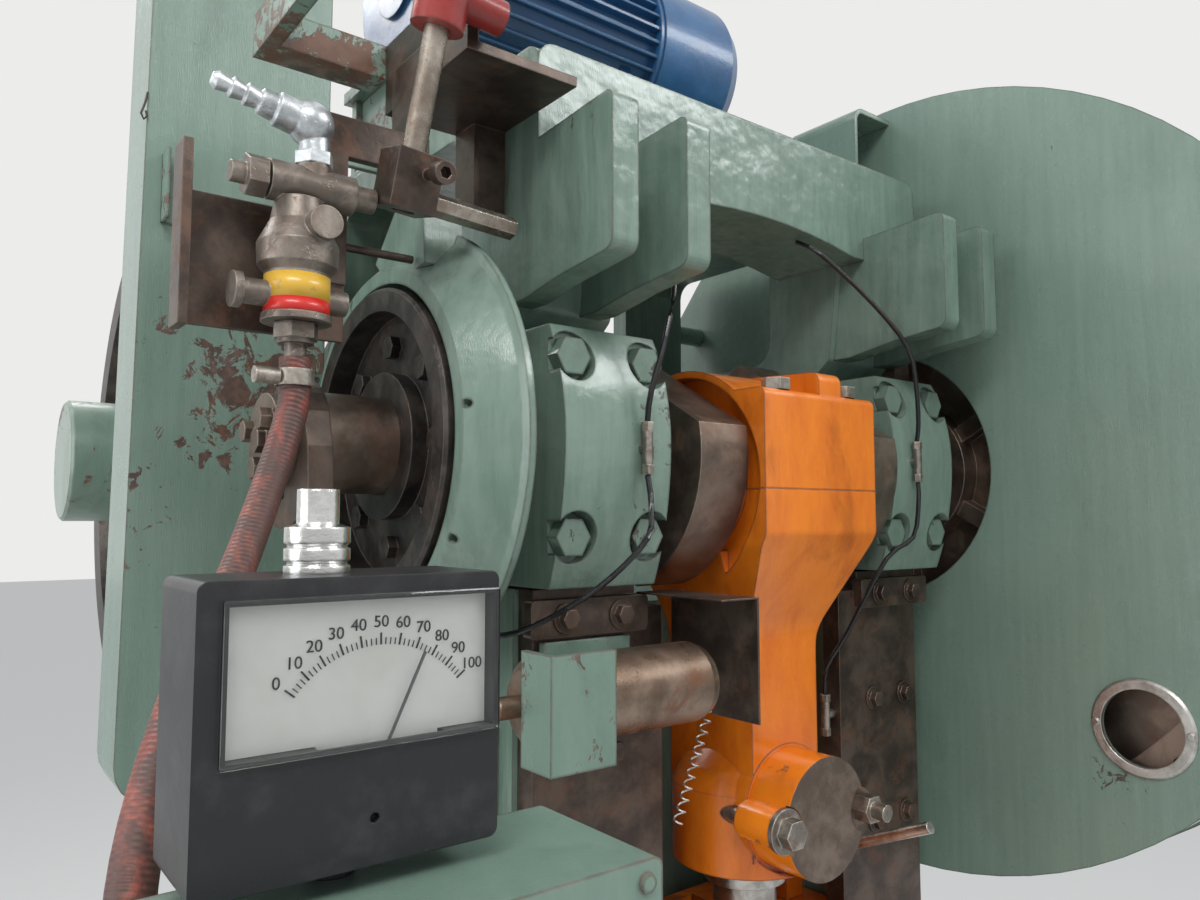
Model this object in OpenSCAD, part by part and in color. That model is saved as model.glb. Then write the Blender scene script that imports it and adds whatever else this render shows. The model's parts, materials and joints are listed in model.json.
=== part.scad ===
/* [Press] */
// Height of the crankshaft's axis above the floor
crank_h = 1850; // [1800:10:1950]
// Distance from the middle to the centre of each main bearing
bearing_x = 280; // [275:1:290]
// Width of each side frame and main bearing
side_w = 143; // [135:1:145]
// Throw of the crank, half the stroke
crank_throw = 54; // [40:1:56]
// Angle of the crank below straight ahead, as it stands
crank_rest = 30; // [20:1:40]

/* [Frame casting] */
// Depth of the crown's front face in front of the crank axis
crown_front = 90; // [80:1:95]
// Height of the crown's top above the crank axis
crown_top = 445; // [430:1:460]
// Height of the crown beam
crown_height = 133; // [120:1:150]
// Depth of the crown beam from front to back
crown_depth = 150; // [130:1:160]
// Width of each tie-rod lug
lug_w = 33; // [28:1:36]
// Thickness of the bed
bed_t = 150; // [130:1:170]
// Height of the bed's top above the floor
bed_h = 600; // [560:1:610]
// Depth of the bed in front of the slide's centre
bed_front = 330; // [300:1:360]
// Height of the foot flanges
foot_h = 45; // [35:1:60]
// Radius of each floor bolt hole
floor_hole_r = 14; // [11:0.5:18]
// Depth of the throat behind the slide's centre
throat_depth = 250; // [230:1:270]

/* [Shafts] */
// Radius of the crankshaft's main journals
journal_r = 65; // [58:1:70]
// Radius of the crank pin
pin_r = 65; // [58:1:68]
// Wall of the bronze bushes
bush_wall = 9; // [7:0.5:11]
// Radius of the arc on the crank cheeks
cheek_r = 163; // [150:1:165]
// Half the width of the crank cheeks across their flats
cheek_half = 108; // [100:1:112]
// Radius of the back shaft
backshaft_r = 45; // [38:1:50]
// Running clearance of each shaft in its bush
run_gap = 0.06; // [0.03:0.01:0.09]

/* [Gears] */
// Module of the gear teeth
gear_mod = 10; // [10:1:10]
// Teeth on the bull gear
bull_teeth = 112; // [112:1:112]
// Teeth on the pinion
pinion_teeth = 16; // [16:1:16]
// Width of the gear faces
gear_w = 95; // [80:1:100]
// Thinning of each tooth for backlash
tooth_thin = 0.8; // [0.6:0.1:1.2]

/* [Pitman] */
// Half the width of the pitman's big end
pitman_half = 103; // [98:1:104]
// Outer radius of the big end
big_r = 137; // [132:1:142]
// Height of the pitman's base below the crank axis
pitman_base = 501; // [490:1:505]
// Radius of the pitman's base
base_r = 92; // [86:1:96]
// Half the width of the neck
neck_half = 60; // [52:1:66]
// Half the depth of the neck
neck_deep = 72; // [64:1:78]
// Radius of the adjusting screw
screw_r = 40; // [34:1:42]
// Radius of the ball on the adjusting screw
ball_r = 50; // [46:1:52]

/* [Slide] */
// Half the width of the slide
slide_half = 160; // [156:1:161]
// Half the depth of the slide's body
slide_deep = 127; // [122:1:135]
// Height of the slide's body
slide_h = 285; // [280:1:300]
// Radius of the shank hole in the slide's face
shank_r = 32; // [25:1:38]
// Depth of the shank hole
shank_deep = 55; // [40:1:58]
// Sliding clearance of the slide's ears
slide_gap = 0.4; // [0.3:0.1:0.8]

/* [Bolster] */
// Thickness of the bolster plate
bolster_t = 60; // [50:1:70]
// Width of the bolster plate
bolster_w = 620; // [560:1:660]
// Depth of the bolster plate
bolster_d = 460; // [420:1:480]
// Radius of the drop hole through the bolster and bed
drop_r = 70; // [55:1:80]

/* [Drive] */
// Radius of the flywheel
fly_r = 395; // [380:1:400]
// Width of the flywheel's rim
fly_w = 105; // [90:1:110]
// Radius of the motor pulley
pulley_r = 75; // [65:1:80]
// Distance of the motor pulley's front behind the flywheel's front
belt_lean = 10; // [0:1:30]
// Height of the motor shaft above the crank axis
motor_z = 735; // [730:1:760]
// Radius of the motor's body over its fins
motor_r = 133; // [125:1:140]

/* [Guards] */
// Gap between the bull gear's teeth and the round guard
guard_gap = 45; // [30:1:50]
// Thickness of the guards' sheet
sheet_t = 4; // [3:0.5:5]
// Radius of the opening in the gear guard
guard_hole_r = 196; // [190:1:200]
// Gap between the flywheel and the belt guard's front sheet
belt_guard_gap = 30; // [20:1:32]
// Radius of the inspection port's ring
port_r = 64; // [56:1:70]

/* [Controls] */
// Radius of the air hose
hose_r = 13; // [11:0.5:14]
// Width of the meter's case
meter_w = 164; // [150:1:172]
// Height of the meter's case
meter_h = 143; // [140:1:150]
// Radius of the air cylinder below the left bearing
cylinder_r = 40; // [34:1:42]

/* [Hidden] */

green = [0.46, 0.58, 0.51];
orange = [0.86, 0.40, 0.10];
steel = [0.55, 0.54, 0.52];
oiled = [0.27, 0.21, 0.19];
blue = [0.10, 0.27, 0.48];
black = [0.12, 0.12, 0.12];

// Main places, measured from the crank axis midway between the bearings
side_in = bearing_x - side_w / 2;
side_out = bearing_x + side_w / 2;
pin_y = -crank_throw * cos(crank_rest);
pin_z = -crank_throw * sin(crank_rest);
bush_r = journal_r + bush_wall;
pin_bush_r = pin_r + bush_wall;
fit = 0.05;
seat = 0.3;
$fn = 48;

// Split plane and front outline of the main bearings
cap_reach = 142;
cap_bolt_x = 50;
cap_bolt_z = 94;
cap_bolt_r = 12.7;
cap_bolt_af = 38;
cap_seat_y = 110;

// Guides of the slide
guide_front = 47;
guide_top = -150;
guide_bottom = -800;
ear_half = 204;
gib_t = 28;
gib_in = 165;
gib_out = 345;
leg_in = 145;
slide_top = -615;
leg_top = -285;
slide_bottom = slide_top - slide_h;
ball_z = -660;
pocket_x = ball_r + 6;
pocket_y = crank_throw + ball_r + 5;
pocket_floor = -826;
bed_top = bed_h - crank_h;

// Back shaft, one centre distance behind the crank axis
shaft_gap = gear_mod * (bull_teeth + pinion_teeth) / 2;
shaft_z = 10;
shaft_y = sqrt(shaft_gap * shaft_gap - shaft_z * shaft_z);
gear_x = 432;
boss_r = 110;
fly_x = -590;
belt_guard_y = shaft_y - fly_r - belt_guard_gap;
motor_y = shaft_y - fly_r + pulley_r + belt_lean;

// Gear guard
guard_x = 416;
guard_w = 132;
guard_back_r = 130;
guard_r = gear_mod * (bull_teeth / 2 + 1) + guard_gap;
guard_hole_y = 30;
port_out = guard_r - 114;
port_y = -0.722 * port_out;
port_z = -0.692 * port_out;

// Derived places on the frame
floor_z = -crank_h + foot_h;
crown_under = crown_top - crown_height;
lug_front = crown_front + 128;
lug_top = crown_top - 103;
lug_under = 162;
cap_top = 128;
cap_bottom = -147;
cap_bulge_z = 8;
cap_round_up = 250;
cap_round_low = 420;
cap_pocket_r = 27;
cap_bolt_in = 60;
column_back = 560;
deck_back = 480;
deck_t = 42;
panel_deep = 45;
foot_out = 70;
throat_top = -880;
guide_in = 185;
ear_back_y = 27;
gib_bolt_z = [guide_top - 30, -330, -500, -670, guide_bottom + 30];
gib_bolt_x = [side_in + 30, gib_out - 32];
gib_bolt_r = 6;
gib_bolt_in = 35;
bolster_front = 280;
bolster_bolt_x = side_in + 50;
bolster_bolt_y = [-230, 130];
bolster_bolt_r = 10;
bolster_bolt_in = 50;

// Derived places on the crank, pitman and drive
cheek_in = pitman_half + 5;
cheek_t = 75;
nose_r = 50;
nose_end = -561;
gear_seat_r = 60;
gear_rim_r = gear_mod * bull_teeth / 2 - 40;
pinion_side = atan2(shaft_z, shaft_y);
drum_x = -497;
drum_r = 162;
brake_r = 226;
brake_x0 = -442;
brake_w = 48;
ledge_z = 104;
step_down = 13;
recess = 18;
pin_bolt_x = 62;
pin_bolt_y = 118;
pin_bolt_r = 10;
clamp_r = 75;
clamp_z = 75.5 - pitman_base;
clamp_seat = -120;
clamp_front = -180;
clamp_bolt_x = 72;
clamp_bolt_r = 10;
screw_in = 190;
belts = 3;
belt_start = 22;
belt_pitch = 22;
belt_w = 17;
belt_h = 11;
belt_gap = 0.6;
motor_x0 = -330;
shroud_x0 = 90;
shroud_l = 187;
fins = 36;
foot_y = 115;
motor_foot = motor_z - motor_r - 6;
bg_left = -672;
bg_right = -466;
bg_bottom = -385;
bg_top = 850;
guard_studs = [[100, 422], [460, 300], [60, -520], [380, -400]];
shelf_x = -478;
shelf_z = 363;
arm_x = -600;
valve_x = -617;
valve_y = -120;
clamp_x = -526;
clamp_y = -140;
clamp_mid = 228;
clamp_x0 = clamp_x - 22;
clamp_turn = [14, 4, 0];
hose_end = -side_out - 40;
meter_x = -768;
meter_y = -440;
meter_z = -247;
meter_d = 66;
box_top = -260;
box_left = -790;
box_right = -534;
box_front = -490;
box_back = -377;
box_h = 140;
needle_x = meter_x + 92;
dial_x0 = meter_x + 14;
dial_x1 = meter_x + meter_w - 10;
dial_low = meter_z + 60;
dial_high = meter_z + meter_h - 12;
dial_deep = 12;
needle_z = dial_low - 9;
needle_turn = 25;
cyl_x0 = -430;
cyl_l = 213;
cyl_y = -190;
cyl_z = -240;

module at_crank() {
    translate([0, 0, crank_h]) children();
}
module xcyl(r, x0, x1, y = 0, z = 0, n = 48) {
    translate([x0, y, z]) rotate([0, 90, 0]) cylinder(r = r, h = x1 - x0, $fn = n);
}
module ycyl(r, y0, y1, x = 0, z = 0, n = 48) {
    translate([x, y1, z]) rotate([90, 0, 0]) cylinder(r = r, h = y1 - y0, $fn = n);
}
module zcyl(r, z0, z1, x = 0, y = 0, n = 48) {
    translate([x, y, z0]) cylinder(r = r, h = z1 - z0, $fn = n);
}
module block(x, y, z) {
    translate([x[0], y[0], z[0]]) cube([x[1] - x[0], y[1] - y[0], z[1] - z[0]]);
}
// A flat outline in Y and Z, made solid from x0 to x1
module slab_yz(x0, x1) {
    translate([x0, 0, 0]) rotate([90, 0, 90]) linear_extrude(x1 - x0) children();
}
// A flat outline in X and Z, made solid from y0 to y1
module slab_xz(y0, y1) {
    translate([0, y1, 0]) rotate([90, 0, 0]) linear_extrude(y1 - y0) children();
}
// A flat outline in X and Y, made solid from z0 to z1
module slab_xy(z0, z1) {
    translate([0, 0, z0]) linear_extrude(z1 - z0) children();
}
module both_sides() {
    children();
    mirror([1, 0, 0]) children();
}
// A hexagon head whose flats are af apart, standing along +Z
module hex_head(af, h) {
    cylinder(r = af / sqrt(3), h = h, $fn = 6);
}

// An outline of corners [x, y, radius], each rounded by an arc
function unit(v) = v / norm(v);
function corner_arc(a, p, b, r, steps) =
    let (u = unit(a - p), v = unit(b - p), half = acos(min(1, max(-1, u * v))) / 2,
         c = p + unit(u + v) * r / sin(half), s = p + u * r / tan(half) - c, e = p + v * r / tan(half) - c,
         a0 = atan2(s[1], s[0]), turn = atan2(e[1], e[0]) - a0,
         d = turn > 180 ? turn - 360 : turn < -180 ? turn + 360 : turn)
    [for (i = [0:steps]) c + r * [cos(a0 + d * i / steps), sin(a0 + d * i / steps)]];
function rounded(pts, steps = 5) = [for (i = [0:len(pts) - 1])
    let (n = len(pts), p = pts[i], a = pts[(i + n - 1) % n], b = pts[(i + 1) % n])
    each (p[2] == 0 ? [[p[0], p[1]]]
        : corner_arc([a[0], a[1]], [p[0], p[1]], [b[0], b[1]], p[2], steps))];
function arc(r, a0, a1, steps, c = [0, 0]) =
    [for (i = [0:steps]) c + r * [cos(a0 + (a1 - a0) * i / steps), sin(a0 + (a1 - a0) * i / steps)]];

// A tube along a path, with its rings square to the path
function path_dir(p, i) = unit(p[min(i + 1, len(p) - 1)] - p[max(i - 1, 0)]);
function smooth_path(p, per = 3) = [for (i = [0:len(p) - 2], k = [0:per - 1])
    let (a = p[max(i - 1, 0)], b = p[i], c = p[i + 1], d = p[min(i + 2, len(p) - 1)], t = k / per)
    0.5 * (2 * b + (c - a) * t + (2 * a - 5 * b + 4 * c - d) * t * t
        + (3 * b - a - 3 * c + d) * t * t * t), p[len(p) - 1]];
module tube(p, r, sides = 8) {
    n = len(p);
    up = [0.31, 0.11, 0.94];
    pts = [for (i = [0:n - 1])
        let (d = path_dir(p, i), u = unit(cross(d, up)), v = cross(d, u))
        each [for (k = [0:sides - 1]) p[i] + r * (u * cos(360 * k / sides) + v * sin(360 * k / sides))]];
    walls = [for (i = [0:n - 2], k = [0:sides - 1])
        [i * sides + k, i * sides + (k + 1) % sides, (i + 1) * sides + (k + 1) % sides, (i + 1) * sides + k]];
    polyhedron(concat(pts), concat(walls, [[for (k = [sides - 1:-1:0]) k]],
        [[for (k = [0:sides - 1]) (n - 1) * sides + k]]), convexity = 8);
}

// The frame casting
function side_outline() = rounded([
    [-crown_front, crown_top, 25], [-crown_front, crown_under + 22, 12], [-52, crown_under, 20],
    [-34, lug_under, 12], [0, cap_top + 6, 0], [0, guide_top, 0], [-guide_front, guide_top, 0],
    [-guide_front, guide_bottom, 25], [throat_depth, throat_top, 90], [throat_depth, bed_top, 60],
    [-bed_front, bed_top, 8], [-bed_front, bed_top - bed_t, 25], [-bed_front + 45, floor_z, 0],
    [column_back, floor_z, 0], [column_back, -300, 90], [deck_back, 170, 60], [deck_back, crown_top, 25]]);
window = rounded([[80, crown_top - 275, 40], [deck_back - 38, crown_top - 275, 40],
    [deck_back - 38, crown_top - 50, 30], [80, crown_top - 50, 30]]);
leg_window = rounded([[-150, -crank_h + foot_h, 0], [-150, bed_top - bed_t - 70, 70],
    [column_back - 150, bed_top - bed_t - 70, 70], [column_back - 150, -crank_h + foot_h, 0]]);
side_panel = rounded([[40, -230, 30], [column_back - 70, -330, 40], [column_back - 70, bed_top + 40, 40],
    [throat_depth + 70, bed_top + 40, 40], [throat_depth + 70, throat_top + 20, 60],
    [40, guide_bottom + 90, 40]]);
module side_frame() {
    difference() {
        slab_yz(side_in, side_out) difference() {
            union() {
                polygon(side_outline());
                polygon([[deck_back - 60, 260], [shaft_y, shaft_z + boss_r], [shaft_y, shaft_z - boss_r],
                    [column_back - 60, -420]]);
                translate([shaft_y, shaft_z]) circle(boss_r);
            }
            polygon(window);
            polygon(leg_window);
        }
        slab_yz(side_out - panel_deep, side_out + 1) polygon(side_panel);
    }
}
// One wedge-shaped lug that stands out over a main bearing
module tie_lug(x0) {
    slab_yz(x0, x0 + lug_w) polygon(rounded([[-lug_front, lug_top, 10], [-lug_front, lug_top - 158, 14],
        [-134, lug_under + 13, 60], [-60, lug_under, 0], [-20, lug_under, 0], [-20, crown_under + 30, 0],
        [-crown_front + 35, crown_under + 20, 0]]));
}
module crown_beam() {
    slab_xz(-crown_front, crown_depth - crown_front) polygon(concat(
        rounded([[side_in + 1, crown_under - 10, 0], [side_out, crown_under - 10, 0], [side_out, crown_top, 22],
            [-side_out, crown_top, 22], [-side_out, crown_under - 10, 0], [-side_in - 1, crown_under - 10, 0]]),
        [for (a = [-1:0.25:1]) [a * (side_in - 12), crown_under + 10 - 20 * a * a]]));
}
module frame() color(green) at_crank() difference() {
    union() {
        both_sides() {
            side_frame();
            tie_lug(side_in + 12);
            tie_lug(side_out - lug_w);
            block([guide_in, side_in + 1], [ear_back_y, ear_back_y + 43], [guide_bottom, guide_top - 20]);
            block([side_in - 55, side_out + foot_out], [-bed_front - 50, column_back + 80], [-crank_h, floor_z]);
            slab_yz(side_out - 1, side_out + 12) difference() {
                translate([shaft_y, shaft_z]) circle(boss_r - 12);
                translate([shaft_y, shaft_z]) circle(backshaft_r + bush_wall + fit);
            }
        }
        crown_beam();
        block([-side_out + 4, side_out - 4], [0, deck_back - 4], [crown_top - deck_t, crown_top]);
        block([-side_in - 1, side_in + 1], [throat_depth - 70, throat_depth - 30], [throat_top + 20, -200]);
        block([-side_in - 1, side_in + 1], [throat_depth - 30, column_back - 30], [throat_top + 20, throat_top + 60]);
        block([-side_in - 1, side_in + 1], [-bed_front, throat_depth + 40], [bed_top - bed_t, bed_top]);
        block([-side_in - 1, side_in + 1], [-bed_front, -bed_front + 40], [bed_top - bed_t - 150, bed_top - 20]);
        block([-side_in - 1, side_in + 1], [-120, 160], [-crank_h, floor_z]);
    }
    xcyl(bush_r + fit, -side_out - 1, side_out + 1);
    xcyl(backshaft_r + bush_wall + fit, -side_out - 20, side_out + 20, shaft_y, shaft_z);
    both_sides() {
        for (s = [-1, 1], t = [-1, 1])
            ycyl(cap_bolt_r + 0.2, -1, cap_bolt_in + 2, bearing_x + s * cap_bolt_x, t * cap_bolt_z);
        for (z = gib_bolt_z, x = gib_bolt_x)
            ycyl(gib_bolt_r + 0.2, -guide_front - 1, -guide_front + gib_bolt_in + 2, x, z);
        for (y = [-bed_front, column_back + 40])
            zcyl(floor_hole_r, -crank_h - 1, floor_z + 1, side_out + foot_out - 30, y);
        for (y = bolster_bolt_y)
            zcyl(bolster_bolt_r + 0.2, bed_top - bolster_bolt_in - 2, bed_top + 1, bolster_bolt_x, y);
    }
    zcyl(drop_r, bed_top - bed_t - 1, bed_top + 1);
}

// Main bearings
module cap_profile(x0, x1) {
    intersection() {
        block([x0, x1], [-cap_reach - 1, 0], [cap_bulge_z, cap_top]);
        xcyl(cap_round_up, x0, x1, cap_round_up - cap_reach, cap_bulge_z);
    }
    intersection() {
        block([x0, x1], [-cap_reach - 1, 0], [cap_bottom, cap_bulge_z]);
        xcyl(cap_round_low, x0, x1, cap_round_low - cap_reach, cap_bulge_z);
    }
}
module bearing_cap() {
    difference() {
        cap_profile(side_in, side_out);
        xcyl(bush_r + fit, side_in - 1, side_out + 1);
        for (s = [-1, 1], t = [-1, 1]) translate([bearing_x + s * cap_bolt_x, 0, t * cap_bolt_z]) {
            ycyl(cap_bolt_r + 0.2, -200, 1);
            ycyl(cap_pocket_r, -200, -cap_seat_y);
        }
    }
}
module bearing_cap_left() color(green) at_crank() mirror([1, 0, 0]) bearing_cap();
module bearing_cap_right() color(green) at_crank() bearing_cap();
// A hex bolt whose head stands along +Z from its seat
module bolt(af, head, r, len, washer = 0) {
    translate([0, 0, washer]) hex_head(af, head);
    if (washer > 0) cylinder(r = af * 0.85, h = washer + 0.5);
    translate([0, 0, -len]) cylinder(r = r, h = len + 1, $fn = 24);
}
module cap_bolts() color(green * 0.9) at_crank() both_sides()
    for (s = [-1, 1], t = [-1, 1])
        translate([bearing_x + s * cap_bolt_x, -cap_seat_y, t * cap_bolt_z])
            rotate([90, 0, 0]) bolt(cap_bolt_af, 17, cap_bolt_r, cap_seat_y + cap_bolt_in);
module main_bushes() color([0.7, 0.5, 0.25]) at_crank() both_sides() difference() {
    xcyl(bush_r, side_in, side_out);
    xcyl(journal_r + run_gap, side_in - 1, side_out + 1);
}
module backshaft_bearings() color([0.7, 0.5, 0.25]) at_crank() both_sides() difference() {
    union() {
        xcyl(backshaft_r + bush_wall, side_in, side_out + 24, shaft_y, shaft_z);
        xcyl(backshaft_r + 30, side_out + 12, side_out + 24, shaft_y, shaft_z);
    }
    xcyl(backshaft_r + run_gap, side_in - 1, side_out + 25, shaft_y, shaft_z);
}

// Guide plates in front of the slide's ears
module gib() {
    difference() {
        union() {
            slab_xz(-guide_front - gib_t, -guide_front) polygon([[gib_in, guide_bottom], [gib_out, guide_bottom],
                [gib_out, guide_top], [side_in - 2, guide_top], [side_in - 2, guide_top - 26], [gib_in, guide_top - 26]]);
            slab_xz(-guide_front - gib_t - 15, -guide_front - gib_t + 1) polygon(rounded([[side_in - 10, guide_top - 10, 6],
                [gib_out + 12, guide_top - 10, 6], [gib_out + 12, guide_top - 50, 6], [side_in - 10, guide_top - 50, 6]]));
        }
        for (z = gib_bolt_z, x = gib_bolt_x)
            ycyl(gib_bolt_r + 0.2, -200, 1, x, z);
    }
}
module gib_left() color(oiled) at_crank() mirror([1, 0, 0]) gib();
module gib_right() color(oiled) at_crank() gib();
module gib_bolts() color(oiled) at_crank() both_sides()
    for (z = gib_bolt_z, x = gib_bolt_x)
        translate([x, -guide_front - gib_t - (z > guide_top - 55 ? 15 : 0), z]) rotate([90, 0, 0])
            bolt(19, 10, gib_bolt_r, gib_t + gib_bolt_in + (z > guide_top - 55 ? 15 : 0), 2);

// Bed plate
module bolster() color(steel) at_crank() difference() {
    block([-bolster_w / 2, bolster_w / 2], [-bolster_front, bolster_d - bolster_front], [bed_top, bed_top + bolster_t]);
    zcyl(drop_r, bed_top - 1, bed_top + bolster_t + 1);
    both_sides() for (y = bolster_bolt_y) {
        zcyl(bolster_bolt_r + 0.2, bed_top - 1, bed_top + bolster_t + 1, bolster_bolt_x, y);
        zcyl(22, bed_top + bolster_t - 22, bed_top + bolster_t + 1, bolster_bolt_x, y);
    }
    for (x = [-150, 150]) slab_xz(-bolster_front - 1, bolster_d - bolster_front + 1)
        polygon([[x - 11, bed_top + bolster_t + 1], [x - 11, bed_top + bolster_t - 16], [x - 19, bed_top + bolster_t - 16],
            [x - 19, bed_top + bolster_t - 28], [x + 19, bed_top + bolster_t - 28], [x + 19, bed_top + bolster_t - 16],
            [x + 11, bed_top + bolster_t - 16], [x + 11, bed_top + bolster_t + 1]]);
}
module bolster_bolts() color(steel) at_crank() both_sides() for (y = bolster_bolt_y)
    translate([bolster_bolt_x, y, bed_top + bolster_t - 22]) bolt(30, 18, bolster_bolt_r, bolster_t - 22 + bolster_bolt_in);

// Crankshaft and what turns with it
module cheek() {
    intersection() {
        xcyl(cheek_r, 0, cheek_t);
        rotate([crank_rest, 0, 0]) block([0, cheek_t], [-cheek_r - 1, cheek_r + 1], [-cheek_half, cheek_half]);
    }
}
module crankshaft() color(oiled) at_crank() {
    xcyl(journal_r, -side_out, -cheek_in - 1);
    xcyl(journal_r, cheek_in + 1, side_out);
    xcyl(journal_r + 16, -side_in + 1, -cheek_in - 1);
    xcyl(journal_r + 16, cheek_in + 1, side_in - 1);
    translate([cheek_in, 0, 0]) cheek();
    translate([-cheek_in - cheek_t, 0, 0]) cheek();
    xcyl(pin_r, -cheek_in - 1, cheek_in + 1, pin_y, pin_z);
    xcyl(nose_r, nose_end, -side_out + 1);
    xcyl(gear_seat_r, side_out - 1, gear_x + gear_w + 14);
}
function involute(rb, t) = rb * [cos(t) + t * PI / 180 * sin(t), sin(t) - t * PI / 180 * cos(t)];
function turn(p, a) = [p[0] * cos(a) - p[1] * sin(a), p[0] * sin(a) + p[1] * cos(a)];
// Outline of a spur gear, each tooth with two involute flanks and a flat root
function gear_outline(teeth, steps = 4) =
    let (rp = gear_mod * teeth / 2, rb = rp * cos(20), ra = rp + gear_mod, rf = rp - 1.25 * gear_mod,
         tip = sqrt(ra * ra / rb / rb - 1) * 180 / PI, foot = rf > rb ? sqrt(rf * rf / rb / rb - 1) * 180 / PI : 0,
         inv = tan(20) * 180 / PI - 20, half = 90 / teeth - tooth_thin / 4 / rp * 180 / PI + inv,
         flank = [for (i = [0:steps]) involute(rb, foot + (tip - foot) * i / steps)],
         root = turn([rf, 0], atan2(flank[0][1], flank[0][0])))
    [for (k = [0:teeth - 1]) let (a = k * 360 / teeth)
        each concat([turn(root, a - half)], [for (p = flank) turn(p, a - half)],
            [for (i = [steps:-1:0]) turn([flank[i][0], -flank[i][1]], a + half)], [turn([root[0], -root[1]], a + half)])];
module bull_gear() color(steel * 0.7) at_crank() difference() {
    union() {
        slab_yz(gear_x, gear_x + gear_w) rotate(pinion_side) difference() {
            polygon(gear_outline(bull_teeth));
            circle(gear_rim_r);
        }
        xcyl(gear_rim_r + 1, gear_x + 35, gear_x + gear_w - 35);
        xcyl(gear_seat_r + 55, gear_x, gear_x + gear_w);
        for (a = [0:60:300]) rotate([a + 30, 0, 0]) block([gear_x + 12, gear_x + gear_w - 12], [gear_seat_r + 50, gear_rim_r + 2], [-13, 13]);
    }
    xcyl(gear_seat_r + fit, gear_x - 1, gear_x + gear_w + 1);
    for (a = [0:60:300]) rotate([a, 0, 0]) xcyl(85, gear_x, gear_x + gear_w, (gear_seat_r + 55 + gear_rim_r) / 2, 0);
}
// Dark dished flange that turns inside the brake housing
module brake_drum() color(black) at_crank() difference() {
    union() {
        translate([drum_x, 0, 0]) rotate([0, 90, 0]) rotate_extrude(convexity = 4)
            polygon([[nose_r + 24, 28], [drum_r - 24, 28], [drum_r - 24, 0], [drum_r - 3, 0], [drum_r, 3], [drum_r, 46],
                [nose_r + 24, 46]]);
        xcyl(nose_r + 26, drum_x + 10, drum_x + 46);
        for (a = [0:45:315]) rotate([a, 0, 0]) translate([drum_x + 28, 104, 0]) rotate([0, -90, 0]) hex_head(22, 11);
    }
    xcyl(nose_r + fit, drum_x - 1, drum_x + 47);
}
module cam_disc() color(oiled) at_crank() difference() {
    slab_yz(nose_end - 24, nose_end) polygon(concat(arc(60, 25, 155, 12), [[-66, -8]], arc(85, 215, 325, 12), [[66, -8]]));
    for (a = [0, 180]) rotate([a, 0, 0]) xcyl(5, nose_end - 25, nose_end - 12, 0, 52);
}
module shaft_end_cap() color(oiled) at_crank() {
    xcyl(45, nose_end - 44, nose_end - 24);
    for (a = [20:120:260]) rotate([a, 0, 0]) translate([nose_end - 44, 28, 0]) rotate([0, -90, 0]) hex_head(19, 12);
    translate([nose_end - 44, 0, 0]) rotate([0, -90, 0]) hex_head(22, 8);
}

// Pitman, hung on the crank pin
module at_pin() {
    translate([0, pin_y, pin_z]) children();
}
pitman_low = -pitman_base - pin_z;
module pitman_shape() {
    intersection() {
        slab_yz(-pitman_half, pitman_half) {
            intersection() {
                circle(big_r);
                translate([-big_r - 1, -big_r - 1]) square([2 * big_r + 2, big_r + 1]);
            }
            polygon(rounded([[-big_r, 0, 0], [-big_r, -65, 16], [-neck_deep, -185, 70], [-neck_deep, pitman_low + 20, 0],
                [neck_deep, pitman_low + 20, 0], [neck_deep, -165, 70], [big_r - 14, -60, 20], [big_r - 2, 0, 0]]));
        }
        slab_xz(-big_r - 1, big_r + 1) polygon(rounded([[-pitman_half, 0, 0], [-pitman_half, -78, 30], [-neck_half, -200, 90],
            [-neck_half, pitman_low, 0], [neck_half, pitman_low, 0], [neck_half, -200, 90], [pitman_half, -78, 30],
            [pitman_half, 0, 0]]));
    }
    zcyl(base_r, pitman_low, pitman_low + 95);
    translate([0, 0, pitman_low + 94]) rotate_extrude()
        polygon([[0, 0], [base_r, 0], [base_r - 12, 26], [neck_half - 4, 50], [0, 50]]);
    ycyl(clamp_r, clamp_seat - pin_y, 0, 0, clamp_z - pin_z);
}
module side_recess() {
    both_sides() difference() {
        xcyl(big_r - 9, pitman_half - recess, pitman_half + 1);
        xcyl(pin_bush_r + 18, pitman_half - recess - 1, pitman_half + 2);
    }
}
module pitman() color(orange) at_crank() at_pin() difference() {
    union() {
        pitman_shape();
        block([-pitman_half, pitman_half], [-big_r, -big_r + 46], [-step_down - 30, -step_down]);
    }
    block([-pitman_half - 1, pitman_half + 1], [-big_r - 1, -big_r + 46], [-step_down, 1]);
    difference() {
        side_recess();
        block([-pitman_half - 2, pitman_half + 2], [-neck_deep + 12, neck_deep - 12], [-big_r - 1, -pin_bush_r - 12]);
    }
    xcyl(pin_bush_r + fit, -pitman_half - 1, pitman_half + 1);
    zcyl(screw_r + fit, pitman_low - 1, pitman_low + screw_in);
    ycyl(clamp_r + 1, -200, clamp_seat - pin_y, 0, clamp_z - pin_z);
    for (x = [-pin_bolt_x, pin_bolt_x], y = [-pin_bolt_y, pin_bolt_y]) zcyl(pin_bolt_r + 0.2, -70, 1, x, y);
    for (x = [-clamp_bolt_x, clamp_bolt_x]) ycyl(clamp_bolt_r + 0.2, clamp_seat - pin_y - 1, clamp_seat - pin_y + 44, x, clamp_z - pin_z);
}
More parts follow.
